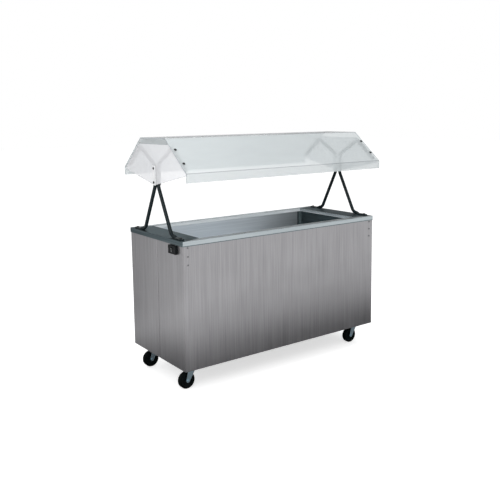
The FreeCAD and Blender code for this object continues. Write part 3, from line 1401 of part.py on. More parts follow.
def make_refrigerant_lines():
    """Discharge line to the coil, liquid line with its drier, and suction line from the well."""
    under_well = f"{FOAM_BOTTOM} - panel_gauge"
    coil_top = f"{TRAY_TOP} + coil_height"
    near_x, far_x = "unit_at - port_spread", "unit_at + port_spread"
    crossing = f"{PORT_TOP} + line_rise"
    coil_x = "unit_at - coil_length / 2 + line_end_inset"
    liquid_x = "unit_at + coil_length / 2 - line_end_inset"
    discharge = line_run([
        (near_x, "-compressor_at", PORT_TOP), (near_x, "-compressor_at", crossing),
        (coil_x, "0", crossing), (coil_x, "coil_at", crossing), (coil_x, "coil_at", coil_top)],
        "line_diameter / 2")
    suction = line_run([
        (far_x, "-compressor_at", PORT_TOP), (far_x, "-compressor_at", crossing),
        (far_x, "0", crossing), (far_x, "0", under_well)], "line_diameter / 2")
    liquid = line_run([(liquid_x, "coil_at", coil_top), (liquid_x, "coil_at", under_well)],
                      "line_diameter / 2")
    members = []
    for name, shape in (("discharge_line", discharge), ("suction_line", suction), ("liquid_line", liquid)):
        line = doc.addObject("Part::Feature", name)
        line.Shape = shape
        members.append(line)
    drier = doc.addObject("Part::Cylinder", "drier")
    drier.setExpression("Radius", tie("drier_diameter / 2"))
    drier.setExpression("Height", tie("drier_length"))
    cone_low = doc.addObject("Part::Cone", "drier_inlet")
    cone_high = doc.addObject("Part::Cone", "drier_outlet")
    for cone, first, last in ((cone_low, "line_diameter / 2", "drier_diameter / 2"),
                              (cone_high, "drier_diameter / 2", "line_diameter / 2")):
        cone.setExpression("Radius1", tie(first))
        cone.setExpression("Radius2", tie(last))
        cone.setExpression("Height", tie("drier_taper"))
    drier_low = f"({coil_top} + {under_well}) / 2 - drier_length / 2"
    place(cone_low, liquid_x, "coil_at", f"{drier_low} - drier_taper")
    place(drier, liquid_x, "coil_at", drier_low)
    place(cone_high, liquid_x, "coil_at", f"{drier_low} + drier_length")
    whole = doc.addObject("Part::MultiFuse", "liquid_line_with_drier")
    whole.Shapes = [members.pop(), cone_low, drier, cone_high]
    group("refrigerant_lines", members + [whole])


def make_condenser_coil():
    """Finned coil: a row of thin plates between two headers, joined by the tube banks' end plates."""
    coil = body("condenser_coil")
    frame = sketch(coil, "XZ_Plane", "-(coil_at + coil_depth / 2)")
    rectangle(frame, "-coil_length / 2", TRAY_TOP, "coil_length / 2", f"{TRAY_TOP} + coil_height")
    inner_x = "coil_length / 2 - coil_wall"
    rectangle(frame, f"-({inner_x})", f"{TRAY_TOP} + coil_wall", inner_x, f"{TRAY_TOP} + coil_height - coil_wall")
    pad(coil, frame, "coil_depth")
    fin = sketch(coil, "XZ_Plane", "-(coil_at + coil_depth / 2 - coil_wall)")
    rectangle(fin, f"-({inner_x}) + fin_pitch", f"{TRAY_TOP} + coil_wall",
              f"-({inner_x}) + fin_pitch + coil_wall", f"{TRAY_TOP} + coil_height - coil_wall")
    first = pad(coil, fin, "coil_depth - 2 * coil_wall")
    fins = coil.newObject("PartDesign::LinearPattern", "fin_rows")
    fins.Originals = [first]
    fins.Direction = (origin_part(coil, "X_Axis"), [""])
    count = "floor((coil_length - 2 * coil_wall - fin_pitch) / fin_pitch)"
    fins.setExpression("Occurrences", tie(count))
    fins.setExpression("Length", tie(f"({count} - 1) * fin_pitch"))
    coil.Tip = fins
    doc.recompute()
    place(coil, "unit_at")


def make_fan_shroud():
    """Square sheet shroud on the coil, with a round opening round the fan."""
    shroud = body("fan_shroud")
    block = sketch(shroud, "XZ_Plane", f"-({SHROUD_FACE} + shroud_rim)")
    half, height = "coil_length / 2", "coil_height"
    rectangle(block, f"-({half})", TRAY_TOP, half, f"{TRAY_TOP} + {height}")
    pad(shroud, block, "shroud_rim")
    hollow = sketch(shroud, "XZ_Plane", f"-({SHROUD_FACE} + shroud_rim)")
    wall = "shroud_gauge"
    rectangle(hollow, f"-({half}) + {wall}", f"{TRAY_TOP} + {wall}", f"{half} - {wall}",
              f"{TRAY_TOP} + {height} - {wall}")
    pocket(shroud, hollow, "shroud_rim - shroud_gauge", reverse=True)
    opening = sketch(shroud, "XZ_Plane", f"-({SHROUD_FACE})")
    circle(opening, "0", COIL_MIDDLE, "fan_radius + fan_gap")
    pocket(shroud, opening, "shroud_gauge * 2")
    place(shroud, "unit_at")


def make_fan_motor():
    """Fan motor on an upright bracket that stands on the tray."""
    motor = body("fan_motor")
    can = sketch(motor, "XZ_Plane", f"-({SHROUD_FACE} - fan_gap)")
    circle(can, "0", COIL_MIDDLE, "motor_radius")
    pad(motor, can, "motor_length")
    soften(motor, "motor_bevel", lambda edge: edge.BoundBox.YLength < 0.01, "Chamfer")
    bracket = sketch(motor, "XZ_Plane", f"-({SHROUD_FACE} - fan_gap - motor_length / 2)")
    rectangle(bracket, "-motor_bracket / 2", TRAY_TOP, "motor_bracket / 2", COIL_MIDDLE)
    pad(motor, bracket, "fork_gauge")
    shaft = sketch(motor, "XZ_Plane", f"-({SHROUD_FACE} + fan_depth + fan_gap / 2)")
    circle(shaft, "0", COIL_MIDDLE, "axle_diameter / 2")
    pad(motor, shaft, "fan_depth + 1.5 * fan_gap")
    place(motor, "unit_at")


def make_fan_rotor():
    """Five twisted blades lofted from hub to tip and repeated round the hub."""
    rotor = body("fan_rotor")
    hub = sketch(rotor, "XZ_Plane", "-fan_depth")
    circle(hub, "0", "0", "fan_hub")
    circle(hub, "0", "0", "axle_diameter / 2 + running_clearance")
    pad(rotor, hub, "fan_depth")
    sections = []
    for reach, lean, chord in (("fan_hub - fork_gauge", 50, "blade_root"), ("fan_radius", 25, "blade_tip")):
        blade = sketch(rotor, "YZ_Plane", reach)
        corners = [(1, -1), (1, 1), (-1, 1), (-1, -1)]
        polygon(blade, [(
            f"fan_depth / 2 + {a} * {chord} * sin({lean}) * blade_rise + {b} * blade_gauge / 2",
            f"{a} * {chord} * cos({lean})") for a, b in corners])
        sections.append(blade)
    loft = rotor.newObject("PartDesign::AdditiveLoft", "fan_blade")
    loft.Profile = sections[0]
    loft.Sections = sections[1:]
    loft.Ruled = True
    rotor.Tip = loft
    doc.recompute()
    blades = rotor.newObject("PartDesign::PolarPattern", "fan_blades")
    blades.Originals = [loft]
    blades.Axis = (origin_part(rotor, "Y_Axis"), [""])
    blades.Angle = 360
    blades.Occurrences = 5
    rotor.Tip = blades
    doc.recompute()
    place(rotor, "unit_at", f"{SHROUD_FACE} + shroud_gauge", COIL_MIDDLE)


# ---------------------------------------------------------------- build

make_front_panel()
front_edge, rear_edge = f"-({HALF_DEPTH}) + panel_gauge", HALF_DEPTH
seam_front, seam_rear = "-seam_shift - seam_gap / 2", "-seam_shift + seam_gap / 2"
for end, side in (("left", "-1"), ("right", "1")):
    make_end_panel(f"end_panel_{end}_front", side, front_edge, seam_front)
    make_end_panel(f"end_panel_{end}_rear", side, seam_rear, rear_edge)
make_countertop()
make_breaker_strip()
make_cold_pan()
make_well_foam()
make_well_jacket()
make_corner_posts()
group("top_rails", [make_top_rail("-1"), make_top_rail("1")])
group("caster_rails", [make_caster_rail("-1"), make_caster_rail("1")])
make_rear_apron()
make_base_deck()
for name, (sx, sy) in CASTERS.items():
    make_fork(name, sx, sy)
    make_wheel(name, sx, sy)
    make_axle(name, sx, sy)
group("caster_plates", [make_caster_plate(sx, sy) for sx, sy in CASTERS.values()])
make_caster_bolts()
for end, sx in (("left", -1), ("right", 1)):
    for face, sy in (("front", -1), ("rear", 1)):
        make_rod(f"hood_rod_{end}_{face}", sx, sy)
    make_end_guard(f"end_guard_{end}", sx)
make_canopy()
make_guard_clamps()
make_hood_bolts()
make_rod_bolts()
make_panel_screws()
make_switch_box()
make_rocker()
make_drain_fitting()
make_drain_pipe()
make_drain_valve()
make_valve_lever()
make_bay_wall()
make_machine_cover()
make_unit_tray()
make_compressor()
make_refrigerant_lines()
make_condenser_coil()
make_fan_shroud()
make_fan_motor()
make_fan_rotor()

doc.recompute()
faults = []
for item in doc.Objects:
    if {"Invalid", "Error"} & set(item.State):
        faults.append(f"{item.Name} ({item.TypeId}) {item.State}")
for piece in parts:
    if piece.Shape.isNull() or not piece.Shape.isValid() or not piece.Shape.Solids:
        faults.append(f"{piece.Label} has no valid solid")
if faults:
    raise RuntimeError("; ".join(faults))

os.makedirs("parts", exist_ok=True)
for piece in parts:
    piece.Shape.exportStep(f"parts/{piece.Label}.step")
print(len(parts), "nodes written")
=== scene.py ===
# %% [markdown]
# # A mobile salad bar
# The bar is a refrigerated well in a panelled cabinet on casters, under a folded acrylic hood.
# The engineering model already holds its solids, so this lesson loads them, gives each the finish
# of the real material, and models by hand the small forms that a solid model leaves plain.

# %% Load the solids
import bpy
import json
import math
from mathutils import Matrix, Vector


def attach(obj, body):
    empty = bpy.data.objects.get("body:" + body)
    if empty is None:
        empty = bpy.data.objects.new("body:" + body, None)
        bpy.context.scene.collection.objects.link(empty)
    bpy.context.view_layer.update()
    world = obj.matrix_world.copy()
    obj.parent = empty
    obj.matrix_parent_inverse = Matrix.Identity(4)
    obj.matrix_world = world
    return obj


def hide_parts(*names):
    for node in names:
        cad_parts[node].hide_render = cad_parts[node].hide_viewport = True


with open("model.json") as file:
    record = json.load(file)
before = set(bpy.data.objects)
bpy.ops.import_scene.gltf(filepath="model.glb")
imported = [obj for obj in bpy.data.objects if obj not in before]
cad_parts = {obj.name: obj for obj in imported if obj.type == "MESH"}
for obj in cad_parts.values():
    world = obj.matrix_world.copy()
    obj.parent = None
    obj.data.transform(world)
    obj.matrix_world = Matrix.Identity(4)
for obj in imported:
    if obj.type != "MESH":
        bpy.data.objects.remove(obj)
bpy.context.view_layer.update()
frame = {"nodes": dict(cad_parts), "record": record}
nodes = frame["nodes"]
print(len(nodes), "solids loaded")

# %% [markdown]
# ## Camera
# The photograph looks down on the closed long side from the left. Solving its corners gives the
# place, direction and lens below. Its upright edges lean together less than a tilted lens would
# draw them, so the lens is also shifted a little. A camera's own axes are right, up and
# backwards, so the three directions become the columns of its rotation.

# %% Place the camera
CAMERA_PLACE = Vector((-2.622, -3.536, 1.608))
CAMERA_YAW, CAMERA_PITCH, CAMERA_ROLL = math.radians(36.02), math.radians(-7.26), math.radians(-0.69)
LENS_IN_FRAMES = 668.7 / 500
LENS_SHIFT = -0.1


def aim_camera(camera, yaw, pitch, roll):
    forward = Vector((math.cos(pitch) * math.sin(yaw), math.cos(pitch) * math.cos(yaw), math.sin(pitch)))
    right = Vector((math.cos(yaw), -math.sin(yaw), 0))
    up = right.cross(forward)
    tilted_right = math.cos(roll) * right + math.sin(roll) * up
    tilted_up = math.cos(roll) * up - math.sin(roll) * right
    camera.rotation_euler = Matrix((tilted_right, tilted_up, -forward)).transposed().to_euler()


bpy.ops.object.camera_add(location=CAMERA_PLACE)
camera = bpy.context.object
camera.name = "photograph_camera"
aim_camera(camera, CAMERA_YAW, CAMERA_PITCH, CAMERA_ROLL)
camera.data.lens = LENS_IN_FRAMES * camera.data.sensor_width
camera.data.shift_y = LENS_SHIFT
camera.data.clip_end = 60
bpy.context.scene.camera = camera
print("lens", round(camera.data.lens, 1), "mm")

# %% [markdown]
# ## Node group helpers
# Effects that several finishes share are built once as node groups. A group takes numbers in and
# gives masks or values out, while the shader itself stays in each material.


# %% Build a group's shell
def new_group(name, inputs, outputs):
    group = bpy.data.node_groups.new(name, "ShaderNodeTree")
    for title, value in inputs:
        kind = "NodeSocketVector" if value is None else "NodeSocketFloat"
        socket = group.interface.new_socket(title, in_out="INPUT", socket_type=kind)
        if value is not None:
            socket.default_value = value
    for title in outputs:
        group.interface.new_socket(title, in_out="OUTPUT", socket_type="NodeSocketFloat")
    return group, group.nodes.new("NodeGroupInput"), group.nodes.new("NodeGroupOutput")


def math_node(tree, operation, first, second):
    """One sum of two sockets or numbers."""
    node = tree.nodes.new("ShaderNodeMath")
    node.operation = operation
    for socket, value in zip(node.inputs, (first, second)):
        if isinstance(value, (int, float)):
            socket.default_value = value
        else:
            tree.links.new(value, socket)
    return node.outputs[0]


def weighed(tree, first, share, second):
    """Two values added up, the first by its share and the second by the rest."""
    return math_node(tree, "ADD", math_node(tree, "MULTIPLY", first, share),
                     math_node(tree, "MULTIPLY", second, 1 - share))


def spread(tree, value, low, high):
    """Stretch the middle of a noise over the whole range from 0 to 1."""
    node = tree.nodes.new("ShaderNodeMapRange")
    node.inputs["From Min"].default_value = low
    node.inputs["From Max"].default_value = high
    tree.links.new(value, node.inputs["Value"])
    return node.outputs[0]


def fading(tree, value, start, end, low, high):
    """A soft step between two values."""
    node = tree.nodes.new("ShaderNodeMapRange")
    node.interpolation_type = "SMOOTHSTEP"
    for title, number in (("From Min", start), ("From Max", end), ("To Min", low), ("To Max", high)):
        node.inputs[title].default_value = number
    tree.links.new(value, node.inputs["Value"])
    return node.outputs[0]


def noise(tree, vector, scale, detail=2.0, roughness=0.5):
    node = tree.nodes.new("ShaderNodeTexNoise")
    node.inputs["Detail"].default_value = detail
    node.inputs["Roughness"].default_value = roughness
    if isinstance(scale, (int, float)):
        node.inputs["Scale"].default_value = scale
    else:
        tree.links.new(scale, node.inputs["Scale"])
    tree.links.new(vector, node.inputs["Vector"])
    return node.outputs["Fac"]


# %% [markdown]
# ## Brushed grain
# A belt leaves thousands of hairlines in one direction, with broader bands where the belt ran
# again. Stretching a noise along one axis draws exactly that. Three widths of line are added,
# because a single width looks like printed stripes. The table gives each width's spots per metre
# across the brushing and along it, and its detail.

# %% Brushed grain group
LINE_WIDTHS = {"hair": (1300, 9, 1.0), "line": (370, 3.1, 2.0), "streak": (150, 2.3, 3.0), "band": (19, 1.3, 3.0)}


def stretched(tree, vector, across, along_axis, along):
    """Scale the pattern's space so that its spots become lines along one axis."""
    mapping = tree.nodes.new("ShaderNodeMapping")
    scale = [across] * 3
    scale["XYZ".index(along_axis)] = along
    mapping.inputs["Scale"].default_value = scale
    tree.links.new(vector, mapping.inputs["Vector"])
    return mapping.outputs["Vector"]


def grain_group(name, axis):
    group, source, sink = new_group(name, [("Vector", None)], ["Lines", "Bands"])
    vector = source.outputs["Vector"]
    width = {title: noise(group, stretched(group, vector, across, axis, along), 1.0, detail)
             for title, (across, along, detail) in LINE_WIDTHS.items()}
    lines = weighed(group, weighed(group, width["hair"], 0.4, width["line"]), 0.42, width["streak"])
    group.links.new(spread(group, lines, 0.37, 0.63), sink.inputs["Lines"])
    group.links.new(spread(group, width["band"], 0.3, 0.7), sink.inputs["Bands"])
    return group


GRAIN = {axis: grain_group("brushed_grain_" + axis.lower(), axis) for axis in "XYZ"}

# %% [markdown]
# ## Handling marks and dust
# Smudges are soft clouds that only change the gloss. Dust settles on faces that look up, more in
# some places than in others, so its mask is the upward part of the normal times a cloud.

# %% Smudge and dust groups
smudges, smudges_in, smudges_out = new_group("smudges", [("Vector", None), ("Scale", 9.0)], ["Mask"])
cloud = noise(smudges, smudges_in.outputs["Vector"], smudges_in.outputs["Scale"], 5.0, 0.62)
smudges.links.new(spread(smudges, cloud, 0.38, 0.68), smudges_out.inputs["Mask"])

dust, dust_in, dust_out = new_group("dust", [("Vector", None), ("Scale", 14.0)], ["Mask"])
facing = dust.nodes.new("ShaderNodeNewGeometry")
parts_of_normal = dust.nodes.new("ShaderNodeSeparateXYZ")
dust.links.new(facing.outputs["Normal"], parts_of_normal.inputs[0])
upward = math_node(dust, "MAXIMUM", parts_of_normal.outputs["Z"], 0.0)
drift = spread(dust, noise(dust, dust_in.outputs["Vector"], dust_in.outputs["Scale"], 4.0, 0.6), 0.35, 0.75)
dust.links.new(math_node(dust, "MULTIPLY", math_node(dust, "POWER", upward, 3.0), drift), dust_out.inputs["Mask"])

# %% [markdown]
# ## Pebbled and orange-peel surfaces
# Moulded plastic has a fine pebble from its mould, and sprayed or powder paint has a soft orange
# peel. Both are a small height that only feeds a Bump node.

# %% Pebble group
pebble, pebble_in, pebble_out = new_group("pebble", [("Vector", None), ("Scale", 900.0)], ["Height"])
cells = pebble.nodes.new("ShaderNodeTexVoronoi")
cells.feature = "SMOOTH_F1"
pebble.links.new(pebble_in.outputs["Vector"], cells.inputs["Vector"])
pebble.links.new(pebble_in.outputs["Scale"], cells.inputs["Scale"])
soft = noise(pebble, pebble_in.outputs["Vector"], math_node(pebble, "MULTIPLY", pebble_in.outputs["Scale"], 0.4), 2.0)
mixed = math_node(pebble, "ADD", math_node(pebble, "MULTIPLY", cells.outputs["Distance"], 0.7), soft)
pebble.links.new(mixed, pebble_out.inputs["Height"])


# %% [markdown]
# ## One recipe for opaque finishes
# Every opaque finish is a Principled shader whose colour swings between two close shades and
# whose roughness and bump follow the same pattern. The recipe takes the pattern's group, so metal,
# plastic and rubber are told apart by their numbers.

# %% Material helpers
def shader_of(name):
    material = bpy.data.materials.new(name)
    material.use_nodes = True
    tree = material.node_tree
    shader = tree.nodes["Principled BSDF"]
    place = tree.nodes.new("ShaderNodeTexCoord").outputs["Object"]
    return material, tree, shader, place


def use_group(tree, group, vector, **numbers):
    node = tree.nodes.new("ShaderNodeGroup")
    node.node_tree = group
    tree.links.new(vector, node.inputs["Vector"])
    for title, value in numbers.items():
        node.inputs[title].default_value = value
    return node.outputs


def two_shades(tree, mask, low, high):
    """A colour that goes from one shade to the other with the mask."""
    mix = tree.nodes.new("ShaderNodeMix")
    mix.data_type = "RGBA"
    shades = [socket for socket in mix.inputs if socket.type == "RGBA"]
    for socket, colour in zip(shades, (low, high)):
        if isinstance(colour, tuple):
            socket.default_value = (*colour, 1)
        else:
            tree.links.new(colour, socket)
    tree.links.new(mask, mix.inputs["Factor"])
    return next(socket for socket in mix.outputs if socket.type == "RGBA")


def between(tree, mask, low, high):
    node = tree.nodes.new("ShaderNodeMapRange")
    node.inputs["To Min"].default_value = low
    node.inputs["To Max"].default_value = high
    tree.links.new(mask, node.inputs["Value"])
    return node.outputs[0]


def bump(tree, shader, height, strength, distance):
    node = tree.nodes.new("ShaderNodeBump")
    node.inputs["Strength"].default_value = strength
    node.inputs["Distance"].default_value = distance
    tree.links.new(height, node.inputs["Height"])
    tree.links.new(node.outputs["Normal"], shader.inputs["Normal"])


DUST_COLOUR = (0.42, 0.40, 0.37)


def dusted(tree, place, colour, amount):
    """Lay dust over a colour where the faces look up, or leave it clean for an amount of zero."""
    if not amount:
        return colour
    settled = math_node(tree, "MULTIPLY", use_group(tree, dust, place)["Mask"], amount)
    return two_shades(tree, settled, colour, DUST_COLOUR)


def darkened(tree, place, colour, axis, start, end, low):
    """Multiply a colour by a shade that fades out along one axis."""
    parts = tree.nodes.new("ShaderNodeSeparateXYZ")
    tree.links.new(place, parts.inputs[0])
    shade = fading(tree, parts.outputs[axis], start, end, low, 1.0)
    scale = tree.nodes.new("ShaderNodeVectorMath")
    scale.operation = "SCALE"
    tree.links.new(colour, scale.inputs[0])
    tree.links.new(shade, scale.inputs["Scale"])
    return scale.outputs["Vector"]


def brushed_metal(name, axis, dark, light, roughness, metallic=1.0, dusty=0.0, relief=0.00003, grazing=1.0,
                  painted_shade_along=None):
    """Metal with a belt's hairlines along one axis, smudges in its gloss, and dust on top if wanted.

    Grazing dims the shine at flat angles. The last argument is an axis, a start, an end and the shade at the start:
    painted shade that darkens the colour towards the start.
    """
    material, tree, shader, place = shader_of(name)
    grain = use_group(tree, GRAIN[axis], place)
    marks = use_group(tree, smudges, place, Scale=7.0)["Mask"]
    tone = weighed(tree, grain["Lines"], 0.84, grain["Bands"])
    colour = dusted(tree, place, two_shades(tree, tone, dark, light), dusty)
    # Painted shade along one axis, when asked for.
    if painted_shade_along:
        colour = darkened(tree, place, colour, *painted_shade_along)
    tree.links.new(colour, shader.inputs["Base Color"])
    gloss = weighed(tree, grain["Lines"], 0.5, marks)
    tree.links.new(between(tree, gloss, roughness - 0.05, roughness + 0.09), shader.inputs["Roughness"])
    shader.inputs["Metallic"].default_value = metallic
    shader.inputs["Specular Tint"].default_value = (grazing, grazing, grazing, 1)
    bump(tree, shader, grain["Lines"], 0.35, relief)
    return material


def cast_finish(name, dark, light, roughness, metallic=0.0, pebbles=900.0, relief=0.00008, dusty=0.0,
                clouds=6.0, coat=0.0, shine=0.5):
    """Plastic, rubber or paint: close shades in clouds, a pebbled or orange-peel face, dust on top."""
    material, tree, shader, place = shader_of(name)
    marks = use_group(tree, smudges, place, Scale=clouds)["Mask"]
    colour = dusted(tree, place, two_shades(tree, marks, dark, light), dusty)
    tree.links.new(colour, shader.inputs["Base Color"])
    tree.links.new(between(tree, marks, roughness - 0.05, roughness + 0.08), shader.inputs["Roughness"])
    shader.inputs["Metallic"].default_value = metallic
    shader.inputs["Coat Weight"].default_value = coat
    shader.inputs["Specular IOR Level"].default_value = shine
    bump(tree, shader, use_group(tree, pebble, place, Scale=pebbles)["Height"], 0.4, relief)
    return material


# %% [markdown]
# ## Metals
# The cabinet's sheet is a mid grey with hairlines that stand upright. The worktop and the well are
# paler stainless. Their long sides are brushed along the bar and their ends across it. The worktop's
# ends and the well's end walls wear much darker copies of the steel: painted shade for the darker reflections they
# show from this side.

# %% Steel sheet
# Painted shade: the sheet's colour is darker towards its foot, standing in for the dim floor that the lower panel
# mirrors.
panel_steel = brushed_metal("panel_steel", "Z", (0.278, 0.274, 0.284), (0.396, 0.391, 0.405), 0.35, metallic=0.9,
                            painted_shade_along=("Z", 0.15, 0.4, 0.86))
rim_steel = brushed_metal("rim_steel", "X", (0.36, 0.405, 0.425), (0.48, 0.53, 0.55), 0.3, grazing=0.8)
# A much darker copy of the worktop steel, brushed across: painted shade for the short sides and the skirt's lower
# edge.
rim_steel_painted_shade = brushed_metal("rim_steel_painted_shade", "Y", (0.10, 0.13, 0.143), (0.17, 0.207, 0.222), 0.34, grazing=0.4)
# Painted shade: the well's colour is darker towards its right end, standing in for the dark end wall that the rear
# wall mirrors.
well_steel = brushed_metal("well_steel", "X", (0.66, 0.71, 0.75), (0.81, 0.86, 0.90), 0.34, metallic=0.45,
                           painted_shade_along=("X", 0.62, 0.05, 0.55))
# A much darker copy of the well steel, brushed across: painted shade for the dark reflections of the end walls.
well_end_painted_shade = brushed_metal("well_end_painted_shade", "Y", (0.055, 0.075, 0.078), (0.10, 0.125, 0.13), 0.38, grazing=0.5)

# %% Small metals
small_steel = brushed_metal("small_steel", "X", (0.5, 0.53, 0.55), (0.68, 0.7, 0.72), 0.32)
screw_steel = brushed_metal("screw_steel", "X", (0.13, 0.135, 0.14), (0.24, 0.245, 0.25), 0.35)
fin_metal = brushed_metal("fin_aluminium", "Z", (0.55, 0.57, 0.59), (0.74, 0.76, 0.78), 0.38, dusty=0.35)
brass = brushed_metal("valve_brass", "Y", (0.55, 0.39, 0.17), (0.80, 0.61, 0.30), 0.33, dusty=0.2)
copper = brushed_metal("line_copper", "Y", (0.50, 0.215, 0.12), (0.74, 0.36, 0.22), 0.3, dusty=0.25)


# %% Zinc
def spangled(name, dark, light, roughness, scale=38.0, dusty=0.0):
    """Zinc: flat crystals of slightly different grey. The scale is their number per metre."""
    material, tree, shader, place = shader_of(name)
    crystals = tree.nodes.new("ShaderNodeTexVoronoi")
    crystals.inputs["Scale"].default_value = scale
    tree.links.new(place, crystals.inputs["Vector"])
    tone = tree.nodes.new("ShaderNodeRGBToBW")
    tree.links.new(crystals.outputs["Color"], tone.inputs[0])
    marks = use_group(tree, smudges, place, Scale=5.0)["Mask"]
    mask = weighed(tree, tone.outputs[0], 0.7, marks)
    colour = dusted(tree, place, two_shades(tree, mask, dark, light), dusty)
    tree.links.new(colour, shader.inputs["Base Color"])
    tree.links.new(between(tree, mask, roughness + 0.08, roughness - 0.06), shader.inputs["Roughness"])
    shader.inputs["Metallic"].default_value = 0.9
    bump(tree, shader, mask, 0.2, 0.00006)
    return material


galvanised = spangled("galvanised_sheet", (0.33, 0.36, 0.38), (0.52, 0.55, 0.57), 0.42, dusty=0.25)
bright_zinc = spangled("bright_zinc", (0.46, 0.62, 0.70), (0.66, 0.83, 0.92), 0.3, scale=160.0)

# %% [markdown]
# ## Plastics, rubber and paint
# These differ in shade, gloss and how coarse their skin is. Black is never quite black: a powder
# coat has a cold sheen, and rubber is the dullest.

# %% Plastics, rubber and paint
powder_black = cast_finish("black_powder_coat", (0.002, 0.007, 0.009), (0.005, 0.014, 0.017), 0.46, pebbles=650.0,
                           shine=0.22)
bolt_black = cast_finish("blackened_bolt", (0.008, 0.009, 0.010), (0.02, 0.021, 0.022), 0.4, shine=0.3)
switch_plastic = cast_finish("switch_plastic", (0.002, 0.003, 0.004), (0.006, 0.008, 0.009), 0.5, shine=0.15)
rocker_plastic = cast_finish("rocker_plastic", (0.012, 0.014, 0.015), (0.03, 0.033, 0.034), 0.3, pebbles=1500.0)
mark_white = cast_finish("mark_white", (0.55, 0.56, 0.56), (0.66, 0.67, 0.67), 0.4, pebbles=1500.0)
strap_white = cast_finish("strap_white", (0.74, 0.75, 0.76), (0.82, 0.83, 0.84), 0.34, pebbles=1200.0)
strip_plastic = cast_finish("strip_plastic", (0.80, 0.84, 0.86), (0.88, 0.91, 0.93), 0.36, pebbles=1200.0)
# A darker copy of the strip's plastic: painted shade for the strip's ends.
strip_end_painted_shade = cast_finish("strip_end_painted_shade", (0.27, 0.31, 0.33), (0.34, 0.38, 0.40), 0.4, pebbles=1200.0)
tread_rubber = cast_finish("tread_rubber", (0.001, 0.002, 0.002), (0.004, 0.006, 0.006), 0.75, pebbles=420.0,
                           relief=0.0002, dusty=0.02, shine=0.04)
core_plastic = cast_finish("wheel_core_plastic", (0.002, 0.004, 0.004), (0.006, 0.009, 0.010), 0.55, shine=0.1)
foam_cream = cast_finish("foam", (0.66, 0.55, 0.30), (0.82, 0.72, 0.46), 0.9, pebbles=260.0, relief=0.0006)
compressor_paint = cast_finish("compressor_paint", (0.008, 0.008, 0.009), (0.02, 0.02, 0.021), 0.33, pebbles=300.0,
                               dusty=0.45, coat=0.2)
lever_red = cast_finish("lever_sleeve", (0.38, 0.018, 0.012), (0.52, 0.035, 0.022), 0.36, pebbles=1100.0)

# %% [markdown]
# ## Acrylic
# The hood is a milky sheet: the white room shows through it, and the black rods only faintly.
# A ray crosses both faces of a sheet, so a face that holds back a little over half makes a sheet
# that holds back four fifths. Wiping leaves faint cloudy arcs in the gloss. The sawn edges wear a
# darker copy of the acrylic, painted shade that reads as thin darker lines.


# %% Acrylic
def acrylic(name, dark, light, veil, roughness):
    material, tree, shader, place = shader_of(name)
    wipes = use_group(tree, smudges, stretched(tree, place, 3.2, "X", 0.9), Scale=1.0)["Mask"]
    tree.links.new(two_shades(tree, wipes, dark, light), shader.inputs["Base Color"])
    tree.links.new(between(tree, wipes, veil - 0.01, veil + 0.015), shader.inputs["Alpha"])
    tree.links.new(between(tree, wipes, roughness, roughness + 0.06), shader.inputs["Roughness"])
    shader.inputs["IOR"].default_value = 1.49
    return material


hood_acrylic = acrylic("hood_acrylic", (0.685, 0.735, 0.75), (0.715, 0.765, 0.78), 0.54, 0.2)
# A darker copy of the acrylic for the hood's flat top and folds: painted shade.
top_and_fold_painted_shade = acrylic("top_and_fold_painted_shade", (0.33, 0.355, 0.37), (0.39, 0.415, 0.43), 0.6, 0.15)
guard_acrylic = acrylic("guard_acrylic", (0.88, 0.89, 0.915), (0.91, 0.92, 0.94), 0.56, 0.12)
# A darker copy of the acrylic for sawn edges: painted shade.
edge_acrylic_painted_shade = acrylic("edge_acrylic_painted_shade", (0.36, 0.40, 0.42), (0.46, 0.50, 0.52), 0.9, 0.35)

# %% [markdown]
# ## Give every solid its finish
# The record names a slot for each solid, so one table from slot to material dresses them all.

# %% Assign the finishes
FINISHES = {
    "panel_steel": panel_steel,
    "stainless": small_steel,
    "strip_plastic": strip_plastic,
    "foam": foam_cream,
    "galvanised": galvanised,
    "zinc": bright_zinc,
    "wheel_core": core_plastic,
    "tread": tread_rubber,
    "black_powder_coat": powder_black,
    "black_bolt": bolt_black,
    "screw_steel": screw_steel,
    "acrylic_sheet": hood_acrylic,
    "acrylic_clear": guard_acrylic,
    "switch_plastic": switch_plastic,
    "rocker_plastic": rocker_plastic,
    "brass": brass,
    "copper": copper,
    "lever_steel": lever_red,
    "compressor_paint": compressor_paint,
    "fin_aluminium": fin_metal,
}
SLOT_OF = {row["node"]: row["material_slot"] for row in frame["record"]["subparts"]}
BODY_OF = {node: body for body, members in frame["record"]["behaviour"]["bodies"].items() for node in members}


def wear(piece, material):
    piece.data.materials.clear()
    piece.data.materials.append(material)


for node, piece in nodes.items():
    wear(piece, FINISHES[SLOT_OF[node]])
wear(nodes["countertop"], rim_steel)
wear(nodes["cold_pan"], well_steel)
wear(nodes["guard_clamps"], strap_white)
print("finished", len(nodes), "solids")


# %% [markdown]
# ## Soft sheet edges
# A solid's corner is a perfect line, but folded or sawn sheet has a small radius that catches the
# light. Each visible sheet is copied, its triangles are merged into whole faces, and a Bevel
# modifier rounds only the sharp edges. The copy then stands for the solid.

# %% Helpers for pieces
def only(piece):
    """Make one piece the whole selection."""
    if bpy.context.object and bpy.context.object.mode != "OBJECT":
        bpy.ops.object.mode_set(mode="OBJECT")
    bpy.ops.object.select_all(action="DESELECT")
    piece.select_set(True)
    bpy.context.view_layer.objects.active = piece
    return piece


def apply_modifiers(piece):
    only(piece)
    for modifier in list(piece.modifiers):
        bpy.ops.object.modifier_apply(modifier=modifier.name)


def stand_for(piece, node, material=None):
    """The piece rides as the node does, wears its finish and hides it."""
    wear(piece, material or nodes[node].data.materials[0])
    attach(piece, BODY_OF[node])
    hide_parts(node)
    return piece


